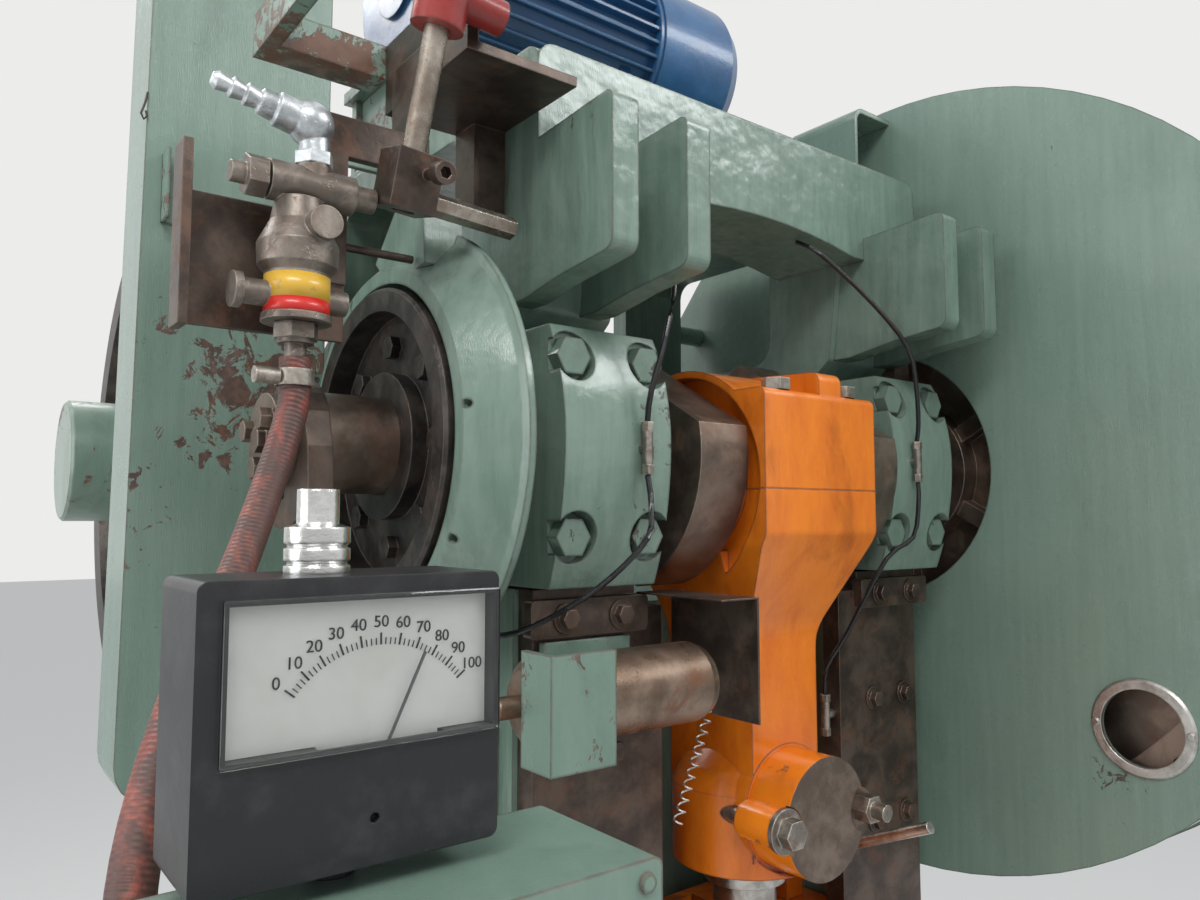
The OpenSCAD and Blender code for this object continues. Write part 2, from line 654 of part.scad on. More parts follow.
module pitman_cap() color(orange) at_crank() at_pin() difference() {
    union() {
        intersection() {
            xcyl(big_r, -pitman_half, pitman_half);
            block([-pitman_half, pitman_half], [-big_r - 1, big_r + 1], [0, big_r + 1]);
        }
        slab_yz(-pitman_half, pitman_half) polygon(rounded([[-big_r, -step_down, 0], [-big_r, ledge_z, 10],
            [-big_r + 60, ledge_z, 12], [-big_r + 46, 0, 0], [-big_r + 46, -step_down, 0]]));
        slab_yz(-pitman_half, pitman_half) polygon(rounded([[big_r - 60, 0, 0], [big_r - 60, ledge_z, 12],
            [big_r - 3, ledge_z, 10], [big_r - 3, 0, 0]]));
        slab_yz(0, 42) polygon(rounded([[-big_r + 4, ledge_z - 30, 0], [-big_r + 4, ledge_z + 27, 14], [0, big_r + 1, 30],
            [big_r - 50, ledge_z + 10, 14], [big_r - 50, ledge_z - 30, 0]]));
    }
    side_recess();
    xcyl(pin_bush_r + fit, -pitman_half - 1, pitman_half + 1);
    for (x = [-pin_bolt_x, pin_bolt_x], y = [-pin_bolt_y, pin_bolt_y]) zcyl(pin_bolt_r + 0.2, -70, 160, x, y);
}
module pin_bush() color([0.7, 0.5, 0.25]) at_crank() at_pin() difference() {
    xcyl(pin_bush_r, -pitman_half, pitman_half);
    xcyl(pin_r + run_gap, -pitman_half - 1, pitman_half + 1);
}
module clamp_cap() color(oiled) at_crank() difference() {
    union() {
        ycyl(clamp_r - 4, clamp_front, clamp_seat, 0, clamp_z);
        for (x = [-clamp_bolt_x, clamp_bolt_x]) ycyl(22, clamp_front + 6, clamp_seat, x, clamp_z);
    }
    for (x = [-clamp_bolt_x, clamp_bolt_x]) {
        ycyl(clamp_bolt_r + 0.2, clamp_front - 1, clamp_seat + 1, x, clamp_z);
        ycyl(27, clamp_front - 1, clamp_front + 6, x, clamp_z);
    }
}
module pitman_bolts() color(steel) at_crank() {
    at_pin() for (x = [-pin_bolt_x, pin_bolt_x], y = [-pin_bolt_y, pin_bolt_y])
        translate([x, y, ledge_z]) bolt(30, 14, pin_bolt_r, ledge_z + 66);
    translate([-clamp_bolt_x, clamp_front + 6, clamp_z]) rotate([90, 0, 0]) bolt(30, 16, clamp_bolt_r, clamp_seat - clamp_front + 36, 6);
    translate([clamp_bolt_x, clamp_front + 6, clamp_z]) rotate([90, 0, 0]) {
        bolt(30, 20, clamp_bolt_r, clamp_seat - clamp_front + 36);
        cylinder(r = clamp_bolt_r, h = 38, $fn = 24);
    }
}
module adjusting_screw() color(steel) at_crank() translate([0, pin_y, 0]) {
    zcyl(screw_r, ball_z, -pitman_base + screw_in - 4);
    translate([0, 0, ball_z]) sphere(ball_r);
    zcyl(screw_r + 12, -pitman_base - 27, -pitman_base - 2);
}

// The slide, guided by its two ears
module slide() color(orange) at_crank() difference() {
    union() {
        slab_xy(slide_bottom, slide_top) polygon(rounded([[-slide_half, -slide_deep, 14], [slide_half, -slide_deep, 14],
            [slide_half, slide_deep, 14], [-slide_half, slide_deep, 14]]));
        both_sides() {
            block([slide_half - 1, ear_half], [-guide_front + slide_gap, ear_back_y - slide_gap], [slide_bottom, slide_top]);
            // A bar that stands on the slide's top
            block([leg_in, guide_in - 4], [10, 70], [slide_top + fit, leg_top]);
        }
    }
    block([-pocket_x, pocket_x], [-pocket_y, pocket_y], [pocket_floor, slide_top + 1]);
    zcyl(shank_r, slide_bottom - 1, slide_bottom + shank_deep);
    slab_xz(-slide_deep - 1, -slide_deep + 9) polygon(rounded([[-105, slide_bottom + 80, 12], [105, slide_bottom + 80, 12],
        [105, slide_top - 40, 12], [-105, slide_top - 40, 12]]));
    for (x = [-100, 100]) ycyl(9, -slide_deep - 1, -slide_deep + 30, x, slide_bottom + 35);
}

// Back shaft, with the pinion at its right end
module pinion_shaft() color(steel * 0.8) at_crank() translate([0, shaft_y, shaft_z]) {
    xcyl(backshaft_r, fly_x - 14, gear_x + gear_w + 12);
    slab_yz(gear_x - 2, gear_x + gear_w + 2)
        rotate(pinion_side + 180 + 180 / pinion_teeth)
            polygon(gear_outline(pinion_teeth));
}
module flywheel() color(black) at_crank() translate([0, shaft_y, shaft_z]) difference() {
    translate([fly_x, 0, 0]) rotate([0, 90, 0]) rotate_extrude(convexity = 6) polygon(concat(
        [[backshaft_r + fit, 0], [backshaft_r + 40, 0], [backshaft_r + 44, 34], [fly_r - 55, 38], [fly_r - 48, 0], [fly_r, 0]],
        [for (i = [0:belts - 1]) let (x0 = belt_start + i * belt_pitch)
            each [[fly_r, x0], [fly_r - belt_h - belt_gap, x0], [fly_r - belt_h - belt_gap, x0 + belt_w + 2 * belt_gap],
                [fly_r, x0 + belt_w + 2 * belt_gap]]],
        [[fly_r, fly_w], [fly_r - 48, fly_w], [fly_r - 55, fly_w - 38], [backshaft_r + 44, fly_w - 34],
            [backshaft_r + 40, fly_w + 10], [backshaft_r + fit, fly_w + 10]]));
    for (a = [0:60:300]) rotate([a, 0, 0]) xcyl(48, fly_x - 1, fly_x + fly_w + 1, 215, 0);
}
module clutch_cover() color(green) at_crank() translate([0, shaft_y, shaft_z]) {
    translate([fly_x, 0, 0]) rotate([0, -90, 0]) rotate_extrude() polygon([[0, 14], [backshaft_r + 2, 14],
        [backshaft_r + 2, 0], [150, 0], [150, 14], [96, 20], [88, 28], [88, 98], [84, 102], [0, 102]]);
    for (a = [0:60:300]) rotate([a, 0, 0]) translate([fly_x - 13, 125, 0]) rotate([0, -90, 0]) hex_head(16, 8);
}
// Outline around two circles and the straight runs between them
function loop_outline(c1, r1, c2, r2, steps) =
    let (d = c2 - c1, a = atan2(d[1], d[0]), b = acos((r1 - r2) / norm(d)))
    concat(arc(r1, a + b, a - b + 360, steps, c1), arc(r2, a - b, a + b, steps / 2, c2));
function belt_line(in) = loop_outline([shaft_y, shaft_z], fly_r + in, [motor_y, motor_z], pulley_r + in, 48);
module drive_belts() color(black) at_crank() for (i = [0:belts - 1])
    translate([fly_x + belt_start + belt_gap + i * belt_pitch, 0, 0]) slab_yz(0, belt_w) difference() {
        polygon(belt_line(1));
        polygon(belt_line(-belt_h));
    }
module motor_pulley() color(black) at_crank() translate([0, motor_y, motor_z]) {
    translate([fly_x, 0, 0]) rotate([0, 90, 0]) rotate_extrude(convexity = 6) polygon(concat([[0, 20], [50, 20], [54, 0], [pulley_r, 0]],
        [for (i = [0:belts - 1]) let (x0 = belt_start + i * belt_pitch)
            each [[pulley_r, x0], [pulley_r - belt_h - belt_gap, x0], [pulley_r - belt_h - belt_gap, x0 + belt_w + 2 * belt_gap],
                [pulley_r, x0 + belt_w + 2 * belt_gap]]],
        [[pulley_r, fly_w], [0, fly_w]]));
    xcyl(24, fly_x + 10, motor_x0 + 6);
    xcyl(24, motor_x0 + 5, shroud_x0 + 50);
    for (a = [0:60:300]) rotate([a, 0, 0]) block([shroud_x0 + 20, shroud_x0 + 48], [20, motor_r - 25], [-2, 2]);
    xcyl(36, shroud_x0 + 16, shroud_x0 + 50);
}

// Motor on top of the crown
module motor_body() color(blue) at_crank() difference() {
    union() {
        translate([0, motor_y, motor_z]) {
            slab_yz(motor_x0 + 24, shroud_x0) {
                circle(motor_r - 14);
                for (a = [0:fins - 1]) rotate(a * 360 / fins) translate([0, -2.5]) square([motor_r, 5]);
            }
            xcyl(motor_r - 4, motor_x0 + 6, motor_x0 + 26);
            xcyl(motor_r + 3.8, shroud_x0 - 8, shroud_x0 + 12);
            xcyl(62, motor_x0, motor_x0 + 10);
        }
        for (x = [motor_x0 + 45, shroud_x0 - 55]) block([x - 28, x + 28], [motor_y - foot_y, motor_y + foot_y], [motor_foot, motor_foot + 18]);
        for (x = [motor_x0 + 45, shroud_x0 - 55], s = [-1, 1]) block([x - 10, x + 10], [motor_y + s * 85 - 14, motor_y + s * 85 + 14],
            [motor_foot + 10, motor_z - 60]);
        block([motor_x0 + 90, motor_x0 + 230], [motor_y + 60, motor_y + motor_r + 55], [motor_z - 10, motor_z + 90]);
    }
    xcyl(25, motor_x0 - 1, shroud_x0 + 13, motor_y, motor_z);
    for (x = [motor_x0 + 45, shroud_x0 - 55], s = [-1, 1]) zcyl(8.2, motor_foot - 1, motor_foot + 19, x, motor_y + s * (foot_y - 22));
}
module motor_shroud() color(blue) at_crank() translate([0, motor_y, motor_z]) difference() {
    union() {
        translate([shroud_x0, 0, 0]) rotate([0, 90, 0]) rotate_extrude(convexity = 4) polygon([[motor_r + 4, 0], [motor_r + 7, 0],
            [motor_r + 7, shroud_l - 30], [motor_r - 6, shroud_l - 6], [motor_r - 22, shroud_l], [0, shroud_l], [0, shroud_l - 3],
            [motor_r - 24, shroud_l - 3], [motor_r - 10, shroud_l - 9], [motor_r + 4, shroud_l - 31]]);
        for (a = [0:90:270]) rotate([a + 45, 0, 0]) block([shroud_x0 + 20, shroud_x0 + 44], [motor_r + 4.5, motor_r + 15], [-12, 12]);
    }
    for (r = [34:14:motor_r - 34], a = [0:30:330]) rotate([a + r * 3, 0, 0]) translate([shroud_x0 + shroud_l - 6, r, 0])
        xcyl(4.5, 0, 8, 0, 0, 13);
}
module motor_base() color(green) at_crank() difference() {
    union() {
        block([motor_x0 - 20, shroud_x0 - 10], [motor_y - foot_y - 20, motor_y + foot_y + 20], [motor_foot - 18, motor_foot]);
        for (x = [motor_x0, shroud_x0 - 30]) block([x, x + 16], [motor_y - foot_y, motor_y + foot_y], [crown_top, motor_foot - 17]);
        for (y = [motor_y - foot_y - 10, motor_y + foot_y - 6]) block([motor_x0 - 10, shroud_x0], [y, y + 16], [crown_top, motor_foot - 17]);
        block([motor_x0 - 20, shroud_x0 + 10], [motor_y - foot_y - 20, motor_y + foot_y + 15], [crown_top, crown_top + 9]);
    }
    for (x = [motor_x0 + 45, shroud_x0 - 55], s = [-1, 1]) zcyl(8.2, motor_foot - 19, motor_foot + 1, x, motor_y + s * (foot_y - 22));
}

// Belt guard on the left
module belt_guard() color(green) at_crank() {
    difference() {
        union() {
            slab_xz(belt_guard_y, belt_guard_y + sheet_t) polygon(rounded([[bg_left - 12, bg_bottom, 45], [bg_right, bg_bottom, 0],
                [bg_right, bg_top, 0], [bg_left, bg_top, 20]]));
            slab_xz(belt_guard_y, belt_guard_y + 100) difference() {
                polygon(rounded([[bg_left - 12, bg_bottom, 45], [bg_right, bg_bottom, 0], [bg_right, bg_top, 0], [bg_left, bg_top, 20]]));
                polygon(rounded([[bg_left - 12 + sheet_t, bg_bottom + sheet_t, 41], [bg_right + 1, bg_bottom + sheet_t, 0],
                    [bg_right + 1, bg_top - sheet_t, 0], [bg_left + sheet_t, bg_top - sheet_t, 16]]));
            }
            block([bg_right - sheet_t, bg_right], [belt_guard_y, belt_guard_y + 28], [bg_bottom, bg_top]);
        }
        xcyl(brake_r + 14, bg_right - 30, bg_right + 1);
    }
    for (z = [bg_bottom + 90, crown_top - 60]) {
        block([bg_right - 1, -side_out], [belt_guard_y + 16, belt_guard_y + 24], [z, z + 50]);
        block([-side_out - 8, -side_out], [belt_guard_y + 16, belt_guard_y + 80], [z, z + 50]);
    }
}

// Gear guard on the right
module guard_outline(grow) {
    polygon(loop_outline([0, 0], guard_r + grow, [shaft_y, shaft_z], guard_back_r + grow, 64));
}
module gear_guard() color(green) at_crank() difference() {
    union() {
        difference() {
            slab_yz(guard_x, guard_x + guard_w) guard_outline(0);
            slab_yz(guard_x + sheet_t, guard_x + guard_w - sheet_t) guard_outline(-sheet_t);
            slab_yz(guard_x + guard_w - sheet_t - 1, guard_x + guard_w + 1) guard_outline(-24);
        }
        for (p = guard_studs) xcyl(18, side_out, guard_x + 1, p[0], p[1]);
        slab_xz(-6, 126) polygon(rounded([[side_out - 30, crown_top, 0], [side_out - 30, guard_r - 18, 22],
            [guard_x + 1, guard_r - 18, 0], [guard_x + 1, guard_r - 26, 0], [side_out - 22, guard_r - 26, 14],
            [side_out - 22, crown_top, 0]]));
    }
    xcyl(guard_hole_r, guard_x - 1, guard_x + sheet_t + 1, guard_hole_y, 0);
    xcyl(backshaft_r + 34, guard_x - 1, guard_x + sheet_t + 1, shaft_y, shaft_z);
    xcyl(port_r - 14, guard_x - 1, guard_x + sheet_t + 1, port_y, port_z);
}
module gear_guard_cover() color(green) at_crank() {
    slab_yz(guard_x + guard_w, guard_x + guard_w + sheet_t) guard_outline(4);
    for (a = [20:40:340]) rotate([a, 0, 0]) translate([guard_x + guard_w + sheet_t - 1, guard_r - 12, 0]) rotate([0, 90, 0]) hex_head(17, 9);
}
module port_ring() color(steel) at_crank() translate([guard_x, port_y, port_z]) rotate([0, -90, 0]) difference() {
    union() {
        rotate_extrude() polygon([[port_r - 14, 0], [port_r, 0], [port_r, 2], [port_r - 3, 5], [port_r - 14, 5]]);
        for (a = [0, 180]) rotate(a) translate([0, port_r - 7, 4]) cylinder(r = 4.5, h = 3, $fn = 24);
    }
}

// Brake housing, fixed to the left side frame around the drum
module brake_housing() color(green) at_crank() difference() {
    union() {
        translate([brake_x0, 0, 0]) rotate([0, -90, 0]) rotate_extrude(convexity = 6)
            polygon([[journal_r + 40, 0], [brake_r, 0], [brake_r, 7], [brake_r - 8, 10], [drum_r + 26, brake_w - 6],
                [drum_r + 20, brake_w], [drum_r + 5, brake_w], [drum_r + 5, 9], [journal_r + 40, 9]]);
        for (a = [18, 54, -18, -54]) rotate([a, 0, 0]) block([brake_x0 - 8, -side_out], [110, 190], [-9, 9]);
        slab_yz(brake_x0 - brake_w + 4, brake_x0) polygon(rounded([[-95, drum_r + 10, 0], [-88, brake_r + 22, 14], [-42, brake_r + 30, 14],
            [20, drum_r + 34, 0], [4, drum_r + 20, 0], [-62, drum_r + 6, 0]]));
    }
    xcyl(5.5, brake_x0 - brake_w - 1, brake_x0 + 1, -62, brake_r + 6);
    for (a = [172, 210]) rotate([a, 0, 0]) xcyl(4, brake_x0 - brake_w + 1, brake_x0 - 20, drum_r + 22, 0);
}

// Brackets, rods and air valve at the upper left
module shelf_plate() color(oiled) at_crank() {
    block([shelf_x, -side_out], [-160, 20], [shelf_z, shelf_z + 10]);
    block([shelf_x, shelf_x + 12], [-160, 20], [shelf_z, shelf_z + 78]);
    for (y = [-110, -40]) {
        translate([-side_out - 36, y, shelf_z + 10]) hex_head(24, 14);
    }
    for (y = [-120, -40]) translate([shelf_x + 12, y, shelf_z + 52]) rotate([0, 90, 0]) hex_head(24, 14);
    block([-side_out - 40, -side_out], [-22, 20], [shelf_z - 100, shelf_z + 1]);
}
module guard_arm() color(green) at_crank() {
    block([arm_x - 8, arm_x + 8], [-158, 60], [shelf_z + 40, shelf_z + 85]);
    block([arm_x - 8, shelf_x], [20, 60], [shelf_z + 40, shelf_z + 78]);
}
module valve_bracket() color(oiled) at_crank() {
    block([-600, -560], [-84, -74], [140, 298]);
    block([-600, shelf_x + 1], [-84, -74], [262, 300]);
    block([shelf_x - 10, shelf_x], [-84, -20], [262, shelf_z + 30]);
    block([-700, -560], [-80, -74], [87, 201]);
    block([-707, -699], [-104, -74], [82, 236]);
    xcyl(4, -560, brake_x0 - brake_w, -76, 178, 24);
}
module valve_body() color(oiled) at_crank() translate([valve_x, valve_y, 0]) {
    xcyl(17, -28, 46, 0, 210);
    zcyl(15, 205, 229, 12, 0);
    xcyl(14, -24, 8, 0, 150);
    rotate_extrude() polygon([[0, 196], [20, 196], [24, 176], [34, 156], [33, 138], [27, 131], [27, 92], [21, 90], [0, 90]]);
    rotate_extrude() polygon([[0, 91], [15, 91], [15, 72], [9, 72], [9, 60.2], [0, 60.2]]);
    translate([0, 0, 76]) cylinder(r = 19, h = 13, $fn = 6);
    zcyl(29, 90, 96);
    translate([10, 0, 170]) ycyl(14, -40, 0);
    translate([-30, 0, 210]) rotate([0, -90, 0]) cylinder(r = 18, h = 16, $fn = 6);
    xcyl(9, -58, -28, 0, 210);
    xcyl(11, 40, clamp_x0 - valve_x - 2.6, 0, 210);
    xcyl(11, -48, -20, 0, 112);
    xcyl(15, -54, -47, 0, 112);
    xcyl(11, 20, 42, 0, 112);
    block([-8, 8], [8, 38], [150, 190]);
}
module valve_elbow() color([0.7, 0.72, 0.73]) at_crank() translate([valve_x, valve_y, 0]) {
    zcyl(13, 229, 262, 12, 0);
    translate([12, 0, 229]) cylinder(r = 17, h = 11, $fn = 6);
    translate([8, 0, 266]) sphere(20);
    translate([8, 0, 266]) rotate([0, -78, 0]) rotate_extrude() polygon([[0, 0], [15, 0], [15, 30], [12, 32], [11, 44], [8, 46],
        [10, 56], [7, 58], [9, 68], [6, 70], [8, 80], [5, 84], [0, 84]]);
}
module clamp_block() color(oiled) at_crank() translate([clamp_x, clamp_y, clamp_mid]) rotate(clamp_turn) {
    difference() {
        cube([44, 44, 52], center = true);
        zcyl(11, -40, 40);
    }
    translate([8, -22, 8]) rotate([90, 0, 0]) {
        cylinder(r = 5, h = 24, $fn = 24);
        translate([0, 0, 22]) difference() {
            cylinder(r = 10, h = 14, $fn = 24);
            translate([0, 0, 4]) cylinder(r = 5.5, h = 12, $fn = 6);
        }
    }
}
module clamp_rod() color(steel) at_crank() translate([clamp_x, clamp_y, clamp_mid]) rotate(clamp_turn) zcyl(10.9, -24, 150);
module cross_bar() color(steel) at_crank() translate([clamp_x, clamp_y, clamp_mid]) rotate(clamp_turn) translate([22, 0, -12])
    rotate([0, 90, 0]) cylinder(r = 11, h = 92, $fn = 6);
module rod_hub() color([0.55, 0.12, 0.1]) at_crank() translate([clamp_x, clamp_y, clamp_mid]) rotate(clamp_turn) {
    difference() {
        zcyl(24, 138, 196);
        zcyl(11, 137, 150.5);
    }
    xcyl(16, 0, 60, 0, 170);
}

// Air hose from the valve down behind the meter to the frame
hose_path = [[-617, -120, 60], [-617, -120, 44], [-617, -120, 28], [-621, -121, 6], [-640, -135, -45], [-676, -177, -115], [-722, -235, -181], [-760, -310, -245],
    [-772, -345, -300], [-760, -330, -380], [-690, -230, -450], [-580, -60, -500], [-480, 40, -520], [hose_end, 60, -520]];
module air_hose() color([0.5, 0.16, 0.13]) at_crank() tube(smooth_path(hose_path, 4), hose_r, 12);
module hose_clamp() color(steel) at_crank() translate([valve_x, valve_y, 36]) {
    difference() {
        zcyl(hose_r + 3.2, 0, 14);
        zcyl(hose_r + 0.8, -1, 15);
    }
    xcyl(7, -hose_r - 22, -hose_r - 2, -4, 7, 24);
}

// Oil tees and their small tubes
tees = [[-250, -150, 0], [250, -150, 5], [150, -61, -345]];
module lube_tees() color([0.72, 0.7, 0.6]) at_crank() for (t = tees) translate(t) {
    zcyl(6, -20, 20);
    for (z = [-28, 18]) translate([0, 0, z]) cylinder(r = 7, h = 10, $fn = 6);
    if (t[0] == tees[2][0]) xcyl(6, 0, gib_in - t[0]);
    else ycyl(6, 0, -cap_reach - t[1] - 0.1);
}
function tee_end(i, s) = tees[i] + [0, 0, s * 28.9];
lube_runs = [
    [tee_end(0, 1), [-249, -155, 60], [-234, -162, 120], [-211, -152, 190], [-200, -118, 255], [-190, -62, 290], [-190, -60, 300]],
    [tee_end(0, -1), [-252, -158, -60], [-268, -170, -95], [-300, -150, -135], [-340, -130, -165], [-372, -90, -190], [-376, -30, -200]],
    [tee_end(1, 1), [247, -155, 60], [236, -160, 110], [211, -165, 160], [170, -140, 220], [110, -100, 288], [100, -66, 312]],
    [tee_end(1, -1), [247, -152, -50], [235, -150, -100], [200, -130, -130], [165, -90, -230], [151, -64, -280], tee_end(2, 1)],
];
module lube_tubes() color(black) at_crank() for (p = lube_runs) tube(smooth_path(p, 3), 3.2, 8);

// Stroke meter and its box
module meter_case() color(black) at_crank() {
    difference() {
        slab_xz(meter_y, meter_y + meter_d) polygon(rounded([[meter_x, meter_z, 5], [meter_x + meter_w - 6, meter_z, 5],
            [meter_x + meter_w - 6, meter_z + meter_h, 5], [meter_x, meter_z + meter_h, 5]]));
        block([dial_x0, dial_x1], [meter_y - 1, meter_y + dial_deep], [dial_low, dial_high]);
        block([needle_x - 34, needle_x + 34], [meter_y + 3, meter_y + dial_deep], [needle_z - 10, dial_low + 1]);
        ycyl(2.5, meter_y - 1, meter_y + 5, needle_x - 5, meter_z + 23);
    }
    zcyl(13, box_top, meter_z + 1, meter_x + 80, meter_y + 40);
}
module meter_dial() color([0.92, 0.92, 0.9]) at_crank() difference() {
    union() {
        block([dial_x0 + seat, dial_x1 - seat], [meter_y + dial_deep - 3, meter_y + dial_deep], [dial_low + seat, dial_high - seat]);
        block([needle_x - 33, needle_x + 33], [meter_y + dial_deep - 3, meter_y + dial_deep], [needle_z - 9, dial_low + 1]);
    }
    ycyl(1.25, meter_y, meter_y + dial_deep + 1, needle_x, needle_z, 24);
}
module meter_needle() color(black) at_crank() translate([needle_x, meter_y, needle_z]) {
    ycyl(1.2, 4.6, dial_deep - 0.2, 0, 0, 24);
    ycyl(4, 4.6, 7, 0, 0, 24);
    rotate([0, needle_turn, 0]) block([-0.7, 0.7], [5, 6], [0, 56]);
}
module meter_connector() color([0.75, 0.76, 0.77]) at_crank() translate([-700, meter_y + 36, meter_z + meter_h]) {
    rotate_extrude() polygon([[0, 0], [17, 0], [17, 4], [15, 5], [17, 7], [17, 13], [15, 14], [17, 16], [17, 24], [11, 26], [11, 44], [0, 44]]);
}
module junction_box() color(green) at_crank() {
    difference() {
        slab_xz(box_front, box_back) polygon(rounded([[box_left, box_top - box_h, 6], [box_right, box_top - box_h, 6],
            [box_right, box_top, 6], [box_left, box_top, 6]]));
    }
    for (x = [box_left + 12, box_right - 12], z = [box_top - 12, box_top - box_h + 12])
        ycyl(5, box_front - 3, box_front + 1, x, z, 24);
}
module box_arm() color(green) at_crank() {
    block([-570, -530], [box_back, 60], [box_top - box_h + 20, box_top - box_h + 60]);
    block([-570, -side_out], [20, 60], [box_top - box_h + 20, box_top - box_h + 60]);
    block([-side_out - 12, -side_out], [-20, 100], [box_top - box_h - 20, box_top - box_h + 100]);
}
module stop_rod() color([0.75, 0.76, 0.77]) at_crank() {
    translate([128, -114, -500]) rotate([66, 0, 0]) cylinder(r = 7, h = 130);
}

// Air cylinder, its plates and the bent shield below the left bearing
module air_cylinder() color(oiled) at_crank() translate([0, cyl_y, cyl_z]) {
    translate([cyl_x0, 0, 0]) rotate([0, 90, 0]) rotate_extrude() polygon([[0, 0], [30, 0], [cylinder_r, 8],
        [cylinder_r, cyl_l - 16], [cylinder_r - 4, cyl_l - 5], [cylinder_r - 14, cyl_l], [0, cyl_l]]);
    xcyl(10, cyl_x0 - 30, cyl_x0 + 1);
}
module cylinder_bracket() color(green) at_crank() {
    block([cyl_x0 - 10, cyl_x0 + 60], [cyl_y - 56, cyl_y - 50], [-290, -190]);
    block([cyl_x0 - 10, cyl_x0 - 4], [cyl_y - 56, cyl_y - 10], [-290, -190]);
}
module splash_shield() color(oiled) at_crank() {
    block([-152, -150], [-214, -78], [-291, -158]);
    block([-206, -150], [-214, -78], [-160, -158]);
}
module shield_spring() color(steel) at_crank() {
    tube([for (i = [0:90]) let (t = i / 90) [-203 - 45 * t + 5 * cos(i * 40), -190 + 5 * sin(i * 40), -275 - 105 * t]], 1, 6);
}

frame();
bearing_cap_left();
bearing_cap_right();
cap_bolts();
main_bushes();
gib_left();
gib_right();
gib_bolts();
bolster();
bolster_bolts();
motor_body();
motor_shroud();
motor_base();
belt_guard();
gear_guard();
gear_guard_cover();
port_ring();
brake_housing();
valve_bracket();
valve_body();
valve_elbow();
clamp_block();
clamp_rod();
cross_bar();
rod_hub();
guard_arm();
shelf_plate();
air_hose();
hose_clamp();
lube_tees();
lube_tubes();
meter_case();
meter_dial();
meter_connector();
meter_needle();
junction_box();
box_arm();
air_cylinder();
cylinder_bracket();
splash_shield();
shield_spring();
drive_belts();
backshaft_bearings();
stop_rod();
crankshaft();
bull_gear();
brake_drum();
cam_disc();
shaft_end_cap();
pitman();
pitman_cap();
pin_bush();
clamp_cap();
pitman_bolts();
adjusting_screw();
slide();
pinion_shaft();
flywheel();
clutch_cover();
motor_pulley();
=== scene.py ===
import json
import math

import bmesh
import bpy
from mathutils import Matrix, Vector


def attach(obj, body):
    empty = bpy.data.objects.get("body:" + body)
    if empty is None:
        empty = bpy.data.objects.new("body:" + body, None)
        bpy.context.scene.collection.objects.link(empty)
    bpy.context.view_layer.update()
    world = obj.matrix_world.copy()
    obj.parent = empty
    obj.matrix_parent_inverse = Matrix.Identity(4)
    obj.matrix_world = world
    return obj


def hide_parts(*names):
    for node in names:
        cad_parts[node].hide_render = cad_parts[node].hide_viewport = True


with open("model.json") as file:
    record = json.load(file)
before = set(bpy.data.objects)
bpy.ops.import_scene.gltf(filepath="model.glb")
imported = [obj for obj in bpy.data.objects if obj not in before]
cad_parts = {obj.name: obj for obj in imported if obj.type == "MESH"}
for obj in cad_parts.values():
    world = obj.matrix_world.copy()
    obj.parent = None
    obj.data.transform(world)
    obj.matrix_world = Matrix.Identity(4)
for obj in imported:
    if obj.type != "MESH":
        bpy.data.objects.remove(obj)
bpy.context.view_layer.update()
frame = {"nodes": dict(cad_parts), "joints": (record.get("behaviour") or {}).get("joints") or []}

nodes = frame["nodes"]
joint_place = {joint["name"]: Vector(joint.get("pos_m", (0, 0, 0))) for joint in frame["joints"]}
crank = joint_place["crank_turn"]


def at_crank(x, y, z):
    """A place given in millimetres from the middle of the crank axis."""
    return crank + Vector((x, y, z)) / 1000


# Camera, standing in front of the press at the left
camera = bpy.data.objects.new("camera", bpy.data.cameras.new("camera"))
bpy.context.scene.collection.objects.link(camera)
camera.location = at_crank(-875, -873, -76)
camera.rotation_euler = (math.radians(94.43), 0, math.radians(-37.81))
camera.data.sensor_width = 36
camera.data.lens = 27
camera.data.clip_start = 0.02
bpy.context.scene.camera = camera
bpy.context.scene.view_settings.view_transform = "Standard"


# Materials

